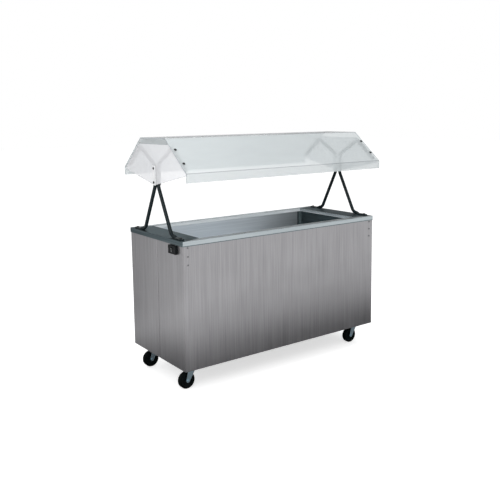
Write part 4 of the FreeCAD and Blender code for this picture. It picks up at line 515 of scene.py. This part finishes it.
def add_bevel(piece, width, segments=2, sharp=35):
    bevel = piece.modifiers.new("edge", "BEVEL")
    bevel.width = width
    bevel.segments = segments
    bevel.limit_method = "ANGLE"
    bevel.angle_limit = math.radians(sharp)


def smooth(piece, sharp=35):
    """Smooth the folds and rounds, and let each large flat face keep its own normal."""
    only(piece)
    bpy.ops.object.shade_smooth_by_angle(angle=math.radians(sharp))
    flat = piece.modifiers.new("flat_faces", "WEIGHTED_NORMAL")
    flat.keep_sharp = True
    bpy.ops.object.modifier_apply(modifier=flat.name)


def merged_copy(node):
    """A copy of a solid whose loose triangles are joined into whole faces."""
    piece = bpy.data.objects.new(node + "_formed", nodes[node].data.copy())
    bpy.context.scene.collection.objects.link(piece)
    only(piece)
    bpy.ops.object.mode_set(mode="EDIT")
    bpy.ops.mesh.select_all(action="SELECT")
    bpy.ops.mesh.remove_doubles(threshold=0.000005)
    bpy.ops.mesh.dissolve_limited(angle_limit=math.radians(0.5))
    bpy.ops.object.mode_set(mode="OBJECT")
    return piece


def softened(node, width, segments=2, sharp=35):
    piece = merged_copy(node)
    add_bevel(piece, width, segments, sharp)
    apply_modifiers(piece)
    smooth(piece, sharp)
    return stand_for(piece, node)


def finish_faces(piece, material, chosen):
    """Give the faces that a rule chooses, by their middle and normal, a finish of their own."""
    piece.data.materials.append(material)
    count = 0
    for face in piece.data.polygons:
        if chosen(face.center, face.normal):
            face.material_index = len(piece.data.materials) - 1
            count += 1
    return count


# %% Round the edges of sheets
SHEETS = {
    "front_panel": 0.0004, "end_panel_left_front": 0.0004, "end_panel_left_rear": 0.0004,
    "end_panel_right_front": 0.0004, "end_panel_right_rear": 0.0004, "rear_apron": 0.0004,
    "base_deck": 0.0008, "machine_cover": 0.0006, "unit_tray": 0.0005,
    "switch_box": 0.0015, "valve_lever": 0.0008,
}
sheets = {node: softened(node, width) for node, width in SHEETS.items()}
print(len(sheets), "sheets rounded")

# %% Painted shade in the seams between the halves of the end walls
SEAM_REACH = 0.003
# The faces in each seam wear the bolts' black: painted shade for the shadow in the gap between the halves.
for side in ("left", "right"):
    seam = max(corner[1] for corner in nodes[f"end_panel_{side}_front"].bound_box)
    for half in ("front", "rear"):
        count = finish_faces(sheets[f"end_panel_{side}_{half}"], bolt_black,
                             lambda middle, normal: abs(middle.y - seam) < SEAM_REACH)
        print("seam faces", side, half, count)

# %% [markdown]
# ## Worktop and well
# The worktop is folded from one sheet, mitred and welded at its corners, so its long sides are
# brushed along the bar and its short sides across. A mitre runs from the rim's corner to the
# opening's. A copy of the solid is cut along the four mitres with bisect, and each face then wears the steel of the
# side that it belongs to; the short sides wear a much darker copy, painted shade.
# A last cut marks off the skirt's lower edge, which wears the same dark copy as a painted shadow line.

# %% Mitred worktop
RIM_LENGTH_HALF, RIM_DEPTH_HALF = 0.762, 0.330
SHORT_SIDE_WIDTH, LONG_SIDE_WIDTH = 0.142, 0.048
HEM_TOP = 0.8795


def cut_mitres(piece):
    only(piece)
    bpy.ops.object.mode_set(mode="EDIT")
    for end in (1, -1):
        for side in (1, -1):
            bpy.ops.mesh.select_all(action="SELECT")
            bpy.ops.mesh.bisect(plane_co=(end * RIM_LENGTH_HALF, side * RIM_DEPTH_HALF, 0.9),
                                plane_no=(end * LONG_SIDE_WIDTH, -side * SHORT_SIDE_WIDTH, 0))
    bpy.ops.mesh.select_all(action="SELECT")
    bpy.ops.mesh.bisect(plane_co=(0, 0, HEM_TOP), plane_no=(0, 0, 1))
    bpy.ops.object.mode_set(mode="OBJECT")


def on_short_side(middle, normal):
    return ((RIM_LENGTH_HALF - abs(middle.x)) / SHORT_SIDE_WIDTH
            < (RIM_DEPTH_HALF - abs(middle.y)) / LONG_SIDE_WIDTH)


worktop = merged_copy("countertop")
cut_mitres(worktop)
add_bevel(worktop, 0.0008, 2)
apply_modifiers(worktop)
smooth(worktop)
stand_for(worktop, "countertop")
# The short sides wear the darker copy: painted shade.
print("short side faces", finish_faces(worktop, rim_steel_painted_shade, on_short_side))
# The skirt's lower edge wears the same darker copy: a painted shadow line under the rim.
finish_faces(worktop, rim_steel_painted_shade, lambda middle, normal: middle.z < HEM_TOP)

# %% Well
END_WALL_TURN = 0.1
well = merged_copy("cold_pan")
smooth(well)
stand_for(well, "cold_pan")
# The end walls and round corners wear the darker copy: painted shade.
print("well end faces", finish_faces(well, well_end_painted_shade, lambda middle, normal: abs(normal.x) > END_WALL_TURN))

# %% Strip round the opening
STRIP_END_X = 0.6
strip = softened("breaker_strip", 0.0008)
# The strip's ends wear the darker copy: painted shade.
finish_faces(strip, strip_end_painted_shade, lambda middle, normal: abs(middle.x) > STRIP_END_X)
print("strip faces", len(strip.data.polygons))

# %% [markdown]
# ## Drain strainer
# A crumb strainer lies over the drain. It is a disc with a ring of drilled holes and a raised
# knob, so a cylinder gets its middle drawn up, and two rings of pins are cut from it with one
# Boolean modifier.

# %% Drain strainer
DRAIN_X, PAN_FLOOR = -0.56, 0.696
DISC_MIDDLE = PAN_FLOOR + 0.0026
PIN_RADIUS, PIN_LENGTH = 0.0022, 0.01


def add_cylinder(radius, depth, place=(0, 0, 0), sides=32, turned=(0, 0, 0)):
    bpy.ops.object.select_all(action="DESELECT")
    bpy.ops.mesh.primitive_cylinder_add(vertices=sides, radius=radius, depth=depth, location=place,
                                        rotation=turned)
    return bpy.context.object


def joined(pieces, name):
    """Join pieces into one mesh whose object sits at the origin."""
    only(pieces[0])
    for piece in pieces:
        piece.select_set(True)
    bpy.ops.object.join()
    whole = bpy.context.object
    whole.name = name
    bpy.ops.object.transform_apply(location=True, rotation=True, scale=True)
    return whole


def cut_away(piece, cutter):
    boolean = piece.modifiers.new("holes", "BOOLEAN")
    boolean.operation = "DIFFERENCE"
    boolean.solver = "EXACT"
    boolean.object = cutter
    only(piece)
    bpy.ops.object.modifier_apply(modifier=boolean.name)
    bpy.data.objects.remove(cutter)


def ring_of(count, radius, make):
    """Make one thing at each of some evenly spaced places on a circle."""
    turns = [2 * math.pi * step / count for step in range(count)]
    return [make(radius * math.cos(turn), radius * math.sin(turn), turn) for turn in turns]


def hole_pin(x, y, turn):
    return add_cylinder(PIN_RADIUS, PIN_LENGTH, (DRAIN_X + x, y, DISC_MIDDLE), 12)


strainer = add_cylinder(0.0245, 0.0012, (DRAIN_X, 0, DISC_MIDDLE), 48)
only(strainer)
bpy.ops.object.transform_apply(location=True)
pins = ring_of(14, 0.0195, hole_pin) + ring_of(9, 0.013, hole_pin)
cut_away(strainer, joined(pins, "strainer_pins"))
knob = add_cylinder(0.004, 0.008, (DRAIN_X, 0, PAN_FLOOR + 0.007), 24)
add_bevel(knob, 0.0015, 3)
apply_modifiers(knob)
strainer = joined([strainer, knob], "drain_strainer")
smooth(strainer)
wear(strainer, small_steel)
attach(strainer, BODY_OF["drain_fitting"])
print("strainer faces", len(strainer.data.polygons))

# %% [markdown]
# ## Hood
# The hood's sheets get rounded edges. Their sawn ends wear a darker copy of the acrylic, painted
# shade that makes the thin lines round each opening. The flat top and the folds wear a deeper copy,
# painted shade for the tone they show when seen at flat angles through more acrylic.

# %% Sawn edges, top and folds of the hood
FACING_END = 0.6
hood = softened("canopy_sheet", 0.0007)
# The hood's ends wear the darker copy: painted shade.
print("hood ends", finish_faces(hood, edge_acrylic_painted_shade, lambda middle, normal: abs(normal.x) > FACING_END))
# The flat top and the folds wear the darker copy: painted shade.
finish_faces(hood, top_and_fold_painted_shade, lambda middle, normal: abs(normal.z) > 0.95 and middle.z > 1.47)
print("hood folds", finish_faces(hood, top_and_fold_painted_shade, lambda middle, normal: 0.68 < abs(normal.y) < 0.97))
for side in ("left", "right"):
    guard = softened("end_guard_" + side, 0.0007)
    # The guard's edges wear the darker copy: painted shade.
    finish_faces(guard, edge_acrylic_painted_shade, lambda middle, normal: abs(normal.x) < FACING_END)
softened("guard_clamps", 0.0006)

# %% [markdown]
# ## Bolts and screws
# A real button-head bolt has a domed head with a hexagonal socket, a washer, and a chamfered nut
# on its thread; the bolts here are modelled without the washer. Each kind is modelled once along +Z
# with its seat at zero, and a copy of its mesh goes to every place where the solid has a bolt.

# %% One bolt of each kind
def bevelled(piece, width, segments=2, sharp=35):
    add_bevel(piece, width, segments, sharp)
    apply_modifiers(piece)
    return piece


def button_bolt(name, head_radius, head_height, grip, nut_height, shank=0.004):
    head = bevelled(add_cylinder(head_radius, head_height, (0, 0, head_height / 2)), head_height * 0.45, 3, 50)
    only(head)
    bpy.ops.object.transform_apply(location=True)
    cut_away(head, add_cylinder(head_radius * 0.48, head_height, (0, 0, head_height), 6))
    length = grip + nut_height
    stem = add_cylinder(shank, length, (0, 0, -length / 2), 20)
    nut = bevelled(add_cylinder(head_radius, nut_height, (0, 0, -grip - nut_height / 2), 6), 0.0005, 2)
    return joined([head, stem, nut], name)


def hex_bolt(name, head_radius, head_height, grip, nut_height, shank):
    head = bevelled(add_cylinder(head_radius, head_height, (0, 0, head_height / 2), 6), 0.0006, 2)
    length = grip + nut_height
    stem = add_cylinder(shank, length, (0, 0, -length / 2), 24)
    nut = bevelled(add_cylinder(head_radius, nut_height, (0, 0, -grip - nut_height / 2), 6), 0.0006, 2)
    return joined([head, stem, nut], name)


def spread_copies(model, places, name):
    """Copy a model's mesh to every place and join the copies into one piece."""
    copies = []
    for place in places:
        copy = bpy.data.objects.new(name, model.data.copy())
        copy.data.transform(place)
        bpy.context.scene.collection.objects.link(copy)
        copies.append(copy)
    bpy.data.objects.remove(model)
    whole = joined(copies, name)
    smooth(whole)
    return whole


ROD_PLANE = 0.737
SLOPE = math.atan2(0.190, 0.230)
HOOD_TOP, HOOD_FLAT_HALF = 1.480, 0.155
HOOD_BOLTS_AT = (0.232, 0.322)


def moved(x, y, z):
    return Matrix.Translation((x, y, z))


def on_slope(end, side, at):
    level = HOOD_TOP - (at - HOOD_FLAT_HALF) * math.tan(SLOPE)
    return moved(end * ROD_PLANE, side * at, level) @ Matrix.Rotation(-side * SLOPE, 4, "X")


slope_places = [on_slope(end, side, at) for end in (-1, 1) for side in (-1, 1) for at in HOOD_BOLTS_AT]
hood_bolts = spread_copies(button_bolt("hood_bolt", 0.008, 0.005, 0.0273, 0.005), slope_places,
                           "hood_bolts_formed")
stand_for(hood_bolts, "hood_bolts")
print("hood bolts", len(slope_places))

# %% Foot bolts and guard bolts
FOOT_BOLT_Y, FOOT_TOP = 0.268, 0.912
STRAP_FACE, GUARD_BOLT_LEVELS = 0.7563, (1.300, 1.216)
foot_places = [moved(end * ROD_PLANE, side * FOOT_BOLT_Y, FOOT_TOP) for end in (-1, 1) for side in (-1, 1)]
guard_places = [moved(end * STRAP_FACE, 0, level) @ Matrix.Rotation(end * math.pi / 2, 4, "Y")
                for end in (-1, 1) for level in GUARD_BOLT_LEVELS]
foot_bolts = spread_copies(button_bolt("foot_bolt", 0.008, 0.005, 0.010, 0.005), foot_places, "foot_bolts_formed")
guard_bolts = spread_copies(button_bolt("guard_bolt", 0.008, 0.0025, 0.0333, 0.005), guard_places,
                            "guard_bolts_formed")
rod_bolts = joined([foot_bolts, guard_bolts], "rod_bolts_formed")
stand_for(rod_bolts, "rod_bolts")
print("rod bolts", len(foot_places) + len(guard_places))

# %% Panel screws
SCREW_X, PANEL_FACE, SCREW_LEVELS = 0.727, -0.326, (0.866, 0.816, 0.766)
screw = bevelled(add_cylinder(0.005, 0.0025, (0, 0, 0.00125)), 0.0011, 3, 50)
only(screw)
bpy.ops.object.transform_apply(location=True)
for turn in (0, math.pi / 2):
    bpy.ops.object.select_all(action="DESELECT")
    bpy.ops.mesh.primitive_cube_add(size=1, location=(0, 0, 0.0024), rotation=(0, 0, turn),
                                    scale=(0.0055, 0.0011, 0.0026))
    cut_away(screw, bpy.context.object)
screw = joined([screw, add_cylinder(0.0025, 0.0075, (0, 0, -0.00375), 16)], "panel_screw")
screw_places = [moved(end * SCREW_X, PANEL_FACE, level) @ Matrix.Rotation(math.pi / 2, 4, "X")
                for end in (-1, 1) for level in SCREW_LEVELS]
stand_for(spread_copies(screw, screw_places, "panel_screws_formed"), "panel_screws")
print("panel screws", len(screw_places))

# %% [markdown]
# ## Casters
# The wheel is a nylon core with a dished web, six ribs and a hub, and a rubber tread moulded round
# it with rounded shoulders. Both start as a cylinder across the bar: the caps are inset and pushed
# in for the dish, and the tread's caps are opened and bridged into a ring.

# %% Wheel core and tread
WHEEL_RADIUS, RUBBER = 0.051, 0.012
CORNERS = {"front_left": (-1, -1), "front_right": (1, -1), "rear_left": (-1, 1), "rear_right": (1, 1)}
CASTER_X, CASTER_Y, CASTER_TRAIL = 0.669, 0.225, 0.030
CASTER_BOLT_X, CASTER_BOLT_Y, CASTER_BOLT_SEAT = 0.0375, 0.030, 0.140
AXLE_HEAD = 0.023


def select_caps(piece):
    """Select the two flat ends of a form that lies along Y."""
    bpy.ops.object.mode_set(mode="OBJECT")
    reach = max(abs(vertex.co.y) for vertex in piece.data.vertices)
    for element in (*piece.data.vertices, *piece.data.edges):
        element.select = False
    for face in piece.data.polygons:
        face.select = abs(face.normal.y) > 0.9 and abs(abs(face.center.y) - reach) < 0.0001 and len(face.vertices) > 4
    bpy.ops.object.mode_set(mode="EDIT")


def lying_cylinder(radius, width, sides=64):
    piece = add_cylinder(radius, width, sides=sides, turned=(math.pi / 2, 0, 0))
    only(piece)
    bpy.ops.object.transform_apply(rotation=True)
    bpy.ops.object.mode_set(mode="EDIT")
    bpy.ops.mesh.select_mode(type="FACE")
    return piece


def wheel_core():
    core = lying_cylinder(WHEEL_RADIUS - RUBBER, 0.030)
    select_caps(core)
    bpy.ops.mesh.inset(thickness=0.005, depth=0)
    bpy.ops.mesh.inset(thickness=0.0015, depth=-0.010)
    bpy.ops.mesh.inset(thickness=0.018, depth=0)
    bpy.ops.mesh.inset(thickness=0.001, depth=0.0135)
    bpy.ops.mesh.inset(thickness=0.003, depth=0)
    bpy.ops.mesh.inset(thickness=0.0005, depth=-0.0015)
    bpy.ops.object.mode_set(mode="OBJECT")
    bevelled(core, 0.0006)
    parts = [core]
    for step in range(6):
        turn = math.pi / 3 * step
        bpy.ops.object.select_all(action="DESELECT")
        bpy.ops.mesh.primitive_cube_add(size=1, location=(0.0225 * math.cos(turn), 0, 0.0225 * math.sin(turn)),
                                        rotation=(0, -turn, 0), scale=(0.019, 0.023, 0.0026))
        rib = bpy.context.object
        bpy.ops.object.transform_apply(scale=True)
        parts.append(bevelled(rib, 0.0006))
    return joined(parts, "wheel_core")


def wheel_tread():
    tread = lying_cylinder(WHEEL_RADIUS, 0.032)
    select_caps(tread)
    bpy.ops.mesh.inset(thickness=RUBBER, depth=0)
    bpy.ops.mesh.delete(type="FACE")
    bpy.ops.mesh.select_all(action="DESELECT")
    bpy.ops.object.mode_set(mode="OBJECT")
    for edge in tread.data.edges:
        ends = [tread.data.vertices[index].co for index in edge.vertices]
        radii = [math.hypot(end.x, end.z) for end in ends]
        edge.select = max(radii) < WHEEL_RADIUS - RUBBER + 0.0005
    bpy.ops.object.mode_set(mode="EDIT")
    bpy.ops.mesh.select_mode(type="EDGE")
    bpy.ops.mesh.bridge_edge_loops()
    bpy.ops.mesh.select_all(action="SELECT")
    bpy.ops.mesh.normals_make_consistent(inside=False)
    bpy.ops.object.mode_set(mode="OBJECT")
    bevelled(tread, 0.0055, 5, 50)
    return tread


core_model, tread_model = wheel_core(), wheel_tread()
axle_model = hex_bolt("axle_bolt", 0.0072, 0.005, 0.046, 0.005, 0.004)
print("wheel faces", len(core_model.data.polygons), len(tread_model.data.polygons))


# %% Fit the four casters
def fitted(model, name, node, x, y, z, turned=None):
    piece = bpy.data.objects.new(name, model.data.copy())
    piece.data.transform(moved(x, y, z) @ (turned or Matrix()))
    bpy.context.scene.collection.objects.link(piece)
    smooth(piece)
    return stand_for(piece, node)


for corner, (end, side) in CORNERS.items():
    x, y = end * CASTER_X - CASTER_TRAIL, side * CASTER_Y
    fitted(core_model, corner + "_core_formed", f"caster_{corner}_wheel_core", x, y, WHEEL_RADIUS)
    fitted(tread_model, corner + "_tread_formed", f"caster_{corner}_tread", x, y, WHEEL_RADIUS)
    fitted(axle_model, corner + "_axle_formed", f"caster_{corner}_axle", x, y - AXLE_HEAD, WHEEL_RADIUS,
           Matrix.Rotation(math.pi / 2, 4, "X"))
    softened(f"caster_{corner}_fork", 0.0006)
for model in (core_model, tread_model, axle_model):
    bpy.data.objects.remove(model)
softened("caster_plates", 0.0005)

# %% Caster bolts
caster_bolt_places = [
    moved(end * CASTER_X + across * CASTER_BOLT_X, side * CASTER_Y + along * CASTER_BOLT_Y,
          CASTER_BOLT_SEAT)
    @ Matrix.Rotation(math.pi, 4, "X")
    for end, side in CORNERS.values() for across in (-1, 1) for along in (-1, 1)]
caster_bolts = spread_copies(hex_bolt("caster_bolt", 0.0072, 0.005, 0.0055, 0.005, 0.004),
                             caster_bolt_places, "caster_bolts_formed")
stand_for(caster_bolts, "caster_bolts")
print("caster bolts", len(caster_bolt_places))

# %% [markdown]
# ## Switch
# The black box on the left end carries a rocker with a line and a ring, the common marks for on
# and off, and two small cover screws. The marks are raised hairs that ride with the rocker.

# %% Cover screws of the switch box
BOX_FACE, BOX_MIDDLE_Z = -0.776, 0.847
cover = bevelled(add_cylinder(0.0035, 0.0016, (0, 0, 0.0008), 24), 0.0007, 2, 50)
cover_places = [moved(BOX_FACE, y, BOX_MIDDLE_Z) @ Matrix.Rotation(-math.pi / 2, 4, "Y") for y in (-0.258, -0.194)]
cover_screws = spread_copies(cover, cover_places, "switch_cover_screws")
wear(cover_screws, bolt_black)
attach(cover_screws, BODY_OF["switch_box"])
print("cover screws", len(cover_places))


# %% Marks of the rocker
ROCKER_Y, LINE_LEVEL, RING_LEVEL = -0.226, 0.853, 0.840
LEFT_OF_BAR, RIGHTWARD = -0.85, Vector((1, 0, 0))


def on_rocker(y, z):
    """The place on the rocker's face that is seen from the left, turned to the face's normal."""
    _, spot, normal, _ = nodes["rocker_switch"].ray_cast(Vector((LEFT_OF_BAR, y, z)), RIGHTWARD)
    return Matrix.Translation(spot) @ normal.to_track_quat("Z", "Y").to_matrix().to_4x4()


bpy.ops.object.select_all(action="DESELECT")
bpy.ops.mesh.primitive_cube_add(size=1, scale=(0.0009, 0.0052, 0.0005))
line_mark = bpy.context.object
bpy.ops.object.transform_apply(scale=True)
bpy.ops.object.select_all(action="DESELECT")
bpy.ops.mesh.primitive_torus_add(major_radius=0.0022, minor_radius=0.0004, major_segments=32, minor_segments=8)
ring_mark = bpy.context.object
line_mark.data.transform(on_rocker(ROCKER_Y, LINE_LEVEL))
ring_mark.data.transform(on_rocker(ROCKER_Y, RING_LEVEL))
marks = joined([line_mark, ring_mark], "rocker_marks")
wear(marks, mark_white)
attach(marks, BODY_OF["rocker_switch"])
print("marks", [round(value, 4) for corner in (marks.bound_box[0], marks.bound_box[6]) for value in corner])

# %% [markdown]
# ## Floor and backdrop
# The product stands on seamless white paper. The paper's own light is part lamp and part glow,
# seen by the camera and through the acrylic, so it is white and still takes a soft shadow. Steel
# mirrors a wide room, and in the photograph the floor close by is in its shade, which darkens the
# foot of every panel. The paper is therefore dimmer near the bar, and at the rear right, for
# mirrored rays only.

# %% White floor
FLOOR_SPAN = 60.0
SHADE_MIDDLE, SHADE_HALF_SIZE = (1.3, 0.0, 0.0), (3.9, 1.65, 1.0)
SHADED_PAPER = (0.05, 0.05, 0.055)
GLOW, FAR_GLOW, MIRRORED_GLOW = 0.6, 0.52, 0.42
bpy.ops.object.select_all(action="DESELECT")
bpy.ops.mesh.primitive_plane_add(size=FLOOR_SPAN)
floor = bpy.context.object
floor.name = "paper_floor"
paper, tree, shader, place = shader_of("white_paper")
shader.inputs["Roughness"].default_value = 0.9
fibres = use_group(tree, smudges, place, Scale=40.0)["Mask"]
path = tree.nodes.new("ShaderNodeLightPath")
mirrored = path.outputs["Is Glossy Ray"]
spot = tree.nodes.new("ShaderNodeMapping")
spot.vector_type = "TEXTURE"
spot.inputs["Location"].default_value = SHADE_MIDDLE
spot.inputs["Scale"].default_value = SHADE_HALF_SIZE
tree.links.new(place, spot.inputs["Vector"])
reach = tree.nodes.new("ShaderNodeVectorMath")
reach.operation = "LENGTH"
tree.links.new(spot.outputs["Vector"], reach.inputs[0])
near_the_bar = fading(tree, reach.outputs["Value"], 0.5, 1.05, 1.0, 0.0)
depth = tree.nodes.new("ShaderNodeSeparateXYZ")
tree.links.new(place, depth.inputs[0])
slant = math_node(tree, "ADD", depth.outputs["Y"], math_node(tree, "MULTIPLY", depth.outputs["X"], 1.85))
behind_the_bar = math_node(tree, "MULTIPLY", fading(tree, slant, -2.2, -0.8, 0.0, 0.85),
                           fading(tree, depth.outputs["Y"], 0.5, 1.4, 0.0, 1.0))
shaded = math_node(tree, "MULTIPLY", math_node(tree, "MAXIMUM", near_the_bar, behind_the_bar), mirrored)
white = two_shades(tree, fibres, (0.80, 0.80, 0.80), (0.82, 0.82, 0.82))
tree.links.new(two_shades(tree, shaded, white, SHADED_PAPER), shader.inputs["Base Color"])
straight = math_node(tree, "MAXIMUM", path.outputs["Is Camera Ray"], path.outputs["Is Transmission Ray"])
far_away = fading(tree, reach.outputs["Value"], 1.0, 3.0, GLOW, FAR_GLOW)
glow = math_node(tree, "MULTIPLY", math_node(tree, "SUBTRACT", mirrored, shaded), MIRRORED_GLOW)
glow = math_node(tree, "ADD", glow, math_node(tree, "MULTIPLY", straight, far_away))
shader.inputs["Emission Color"].default_value = (1, 1, 1, 1)
tree.links.new(glow, shader.inputs["Emission Strength"])
wear(floor, paper)

# %% [markdown]
# ## Light
# A white room lights everything evenly. Behind the bar it is dimmer for mirrored rays, so steel
# that faces away from the lamps goes dark, as it does in the photograph. Large soft boxes light
# the closed side from the left front, the worktop from above, and the service side faintly.

# %% World and lamps
world = bpy.data.worlds.new("white_room")
bpy.context.scene.world = world
world.use_nodes = True
tree = world.node_tree
background = tree.nodes["Background"]
path = tree.nodes.new("ShaderNodeLightPath")
direct = math_node(tree, "MAXIMUM", path.outputs["Is Camera Ray"], path.outputs["Is Transmission Ray"])
ROOM_LIGHT = 0.74
REAR_LIGHT = 0.45
direction = tree.nodes.new("ShaderNodeSeparateXYZ")
tree.links.new(tree.nodes.new("ShaderNodeTexCoord").outputs["Generated"], direction.inputs[0])
rearward = spread(tree, direction.outputs["Y"], -0.1, 0.7)
mirrored = between(tree, rearward, 1.0, REAR_LIGHT)
lit = tree.nodes.new("ShaderNodeMix")
lit.inputs["A"].default_value = ROOM_LIGHT
tree.links.new(path.outputs["Is Glossy Ray"], lit.inputs["Factor"])
tree.links.new(mirrored, lit.inputs["B"])
strength = math_node(tree, "MAXIMUM", lit.outputs["Result"], direct)
background.inputs["Color"].default_value = (1, 1, 1, 1)
tree.links.new(strength, background.inputs["Strength"])


def soft_box(name, place, target, size, power):
    bpy.ops.object.light_add(type="AREA", location=place)
    lamp = bpy.context.object
    lamp.name = name
    lamp.data.shape = "RECTANGLE"
    lamp.data.size, lamp.data.size_y = size
    lamp.data.energy = power
    lamp.rotation_euler = (Vector(target) - Vector(place)).to_track_quat("-Z", "Y").to_euler()
    lamp.visible_camera = False
    return lamp


soft_box("key_box", (-2.6, -2.0, 2.1), (-0.4, 0, 1.0), (1.8, 1.4), 38)
soft_box("top_box", (0.0, 0.2, 4.6), (0, 0, 0.9), (3.5, 3.5), 30)
soft_box("service_box", (1.6, 3.0, 3.3), (0.2, 0.2, 0.8), (2.0, 1.6), 34)

bpy.context.scene.view_settings.view_transform = "Standard"
